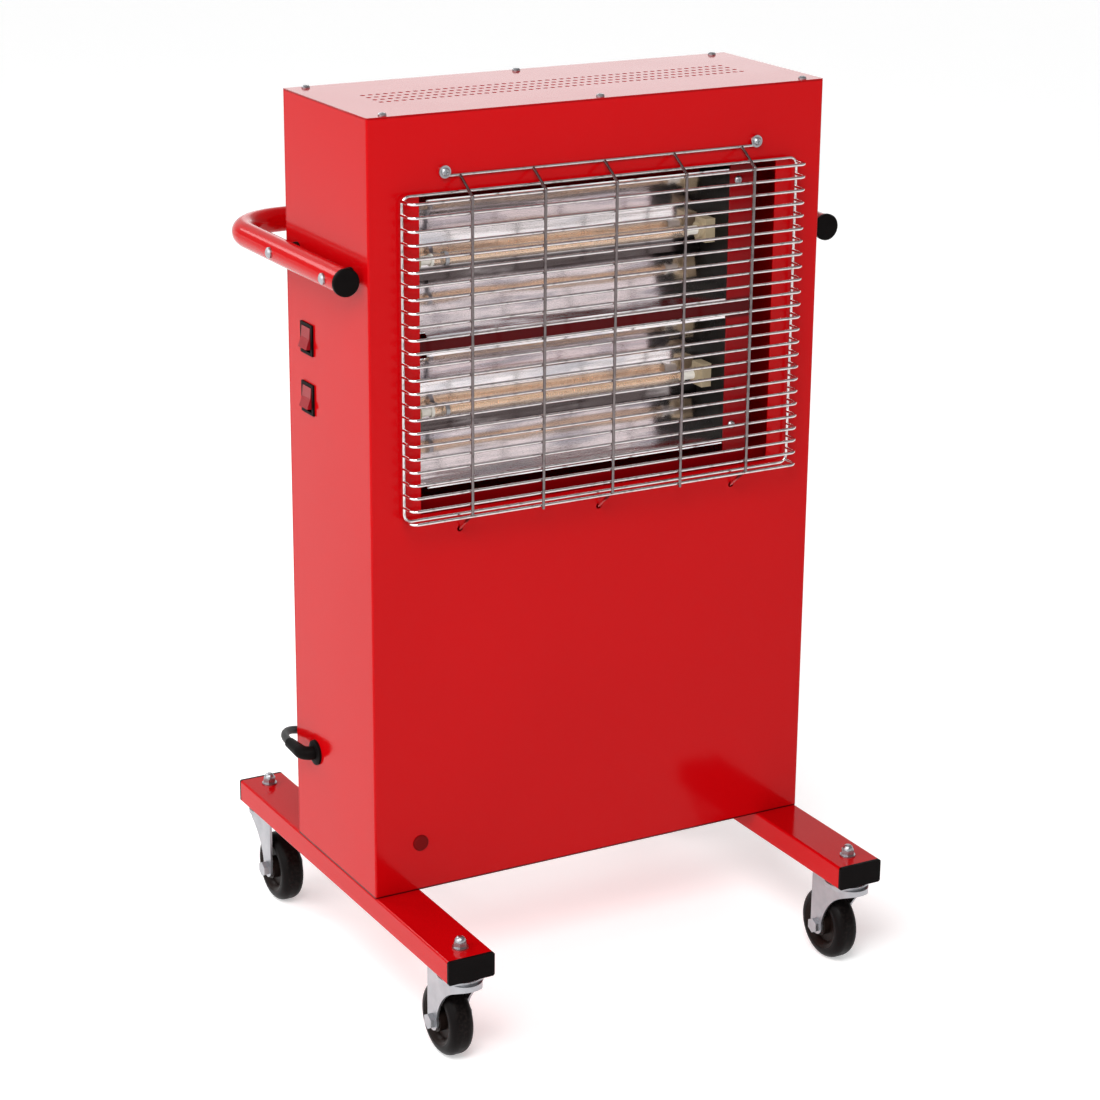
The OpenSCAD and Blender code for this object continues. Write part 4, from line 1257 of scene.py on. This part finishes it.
def band(name: str, outer: list[Spot], inner: list[Spot], width: float) -> bpy.types.Mesh:
    """A flat strap between two outlines in the XZ plane.

    Args:
        name: the mesh's name.
        outer: its outer outline.
        inner: its inner outline, with as many points.
        width: its width along Y.

    Returns:
        The mesh.
    """
    made = bmesh.new()
    half = width / 2
    loops = [
        [made.verts.new((x, y, z)) for x, z in outline]
        for outline, y in ((outer, -half), (outer, half), (inner, half), (inner, -half))
    ]
    count = len(outer)
    for a, b in zip(loops, loops[1:] + loops[:1]):
        for i in range(count):
            made.faces.new((a[i], a[(i + 1) % count], b[(i + 1) % count], b[i]))
    bmesh.ops.recalc_face_normals(made, faces=made.faces)
    mesh = bpy.data.meshes.new(name)
    made.to_mesh(mesh)
    made.free()
    return mesh


def add_piece(
    name: str, data: bpy.types.ID, material: bpy.types.Material,
    body: Body = Body.CABINET, level: float = 0.0,
) -> bpy.types.Object:
    """Adds a new piece to the scene.

    Args:
        name: its name.
        data: its mesh or curve.
        material: its material.
        body: the body that it rides on.
        level: the height that it is put at.

    Returns:
        The piece.
    """
    data.materials.append(material)
    piece = bpy.data.objects.new(name, data)
    piece.location.z = level
    bpy.context.scene.collection.objects.link(piece)
    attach(piece, body.value)
    LOG.info("%s: new piece on %s", name, body.value)
    return piece


@dataclass(frozen=True)
class SoftGlow:
    """A soft bright patch of the surroundings, between two angles from a direction."""

    way: Point
    inner: float
    outer: float
    strength: float

    def light(self, net: Net, look: Sock) -> Sock:
        """The patch's brightness.

        Args:
            net: the world's tree.
            look: the direction that is looked in.

        Returns:
            The brightness.
        """
        way = tuple(Vector(self.way).normalized())
        near = net.vector("DOT_PRODUCT", look, way, out="Value")
        outer, inner = (math.cos(math.radians(a)) for a in (self.outer, self.inner))
        return self.strength * net.step(near, outer, inner)


@dataclass(frozen=True)
class SoftBox:
    """A soft square light on a stand."""

    name: str
    at: Point
    aim: Point
    size: float
    power: float

    def hang(self) -> None:
        """Puts the light into the scene, turned to what it is aimed at."""
        data = bpy.data.lights.new(self.name, "AREA")
        data.size = self.size
        data.energy = self.power
        light = bpy.data.objects.new(self.name, data)
        light.location = self.at
        way = Vector(self.aim) - Vector(self.at)
        light.rotation_euler = way.to_track_quat("-Z", "Y").to_euler()
        bpy.context.scene.collection.objects.link(light)


@dataclass
class Studio:
    """The pale floor, the soft light and the camera at the photograph's angle."""

    camera_at: Point = (-1.37400, -2.45294, 1.37023)
    camera_turn: Point = (71.10445, -0.44052, -28.98965)
    lens: float = 94.478
    sensor: float = 36.0
    shift: Spot = (0.0023, 0.0137)
    reach: float = 200.0
    floor_half: float = 30.0
    rim_h: float = 3.2
    sky: float = 0.30
    glows: tuple[SoftGlow, ...] = (
        SoftGlow(way=(0.25, 0.95, 0.42), inner=14.0, outer=42.0, strength=0.6),
        SoftGlow(way=(0.478, 0.863, 0.165), inner=6.0, outer=13.0, strength=1.1),
        SoftGlow(way=(-0.95, -0.15, 0.4), inner=15.0, outer=45.0, strength=2.7),
    )
    boxes: tuple[SoftBox, ...] = (
        SoftBox("front_light", at=(-1.0, -1.6, 2.2), aim=(0.0, 0.0, 0.75), size=1.0, power=40.0),
        SoftBox(
            "rear_floor_light", at=(-1.3, 2.2, 2.0), aim=(-1.0, 1.7, 0.0), size=1.4, power=30.0
        ),
    )

    def build(self, wardrobe: Wardrobe) -> None:
        """Builds the floor, the light and the camera.

        Args:
            wardrobe: the finishes' materials.
        """
        self.camera()
        self.floor(wardrobe)
        self.world()
        for box in self.boxes:
            box.hang()
        bpy.context.scene.view_settings.view_transform = "Standard"

    def camera(self) -> None:
        """Places the camera."""
        data = bpy.data.cameras.new("camera")
        data.sensor_width = self.sensor
        data.lens = self.lens
        data.shift_x, data.shift_y = self.shift
        data.clip_end = self.reach
        camera = bpy.data.objects.new("camera", data)
        camera.location = self.camera_at
        camera.rotation_euler = [math.radians(a) for a in self.camera_turn]
        bpy.context.scene.collection.objects.link(camera)
        bpy.context.scene.camera = camera

    def floor(self, wardrobe: Wardrobe) -> None:
        """Lays the floor, with a low rim round its far edge.

        Args:
            wardrobe: the finishes' materials.
        """
        half = self.floor_half
        corners = ((-half, -half), (half, -half), (half, half), (-half, half))
        mesh = bpy.data.meshes.new("floor")
        mesh.from_pydata(
            [(x, y, z) for z in (0.0, self.rim_h) for x, y in corners],
            [],
            [(0, 1, 2, 3)] + [(i, (i + 1) % 4, (i + 1) % 4 + 4, i + 4) for i in range(4)],
        )
        mesh.materials.append(wardrobe.material(PALE_FLOOR))
        floor = bpy.data.objects.new("floor", mesh)
        bpy.context.scene.collection.objects.link(floor)

    def world(self) -> None:
        """Sets a pale surrounding light with a few soft bright patches."""
        world = bpy.data.worlds.new("studio")
        world.use_nodes = True
        net = Net(world.node_tree)
        look = net.add("ShaderNodeTexCoord", out="Generated")
        total: Value = self.sky
        for glow in self.glows:
            total = total + glow.light(net, look)
        lit = {"Color": (1.0, 1.0, 1.0), "Strength": total}
        light = net.add("ShaderNodeBackground", {}, lit)
        net.add("ShaderNodeOutputWorld", {}, {"Surface": light})
        bpy.context.scene.world = world


def main() -> None:
    """Builds the scene in order: studio, lead, then the other sub-assemblies."""
    logging.basicConfig(level=logging.INFO, format="%(message)s")
    wardrobe = Wardrobe()
    Studio().build(wardrobe)
    assemblies = (
        MainsLead(), Cabinet(), VentedTop(), Guard(), HeatingElements(), Handle(), Switches(),
        Feet(),
    )
    for assembly in assemblies:
        assembly.dress(wardrobe)


if __name__ == "__main__":
    main()
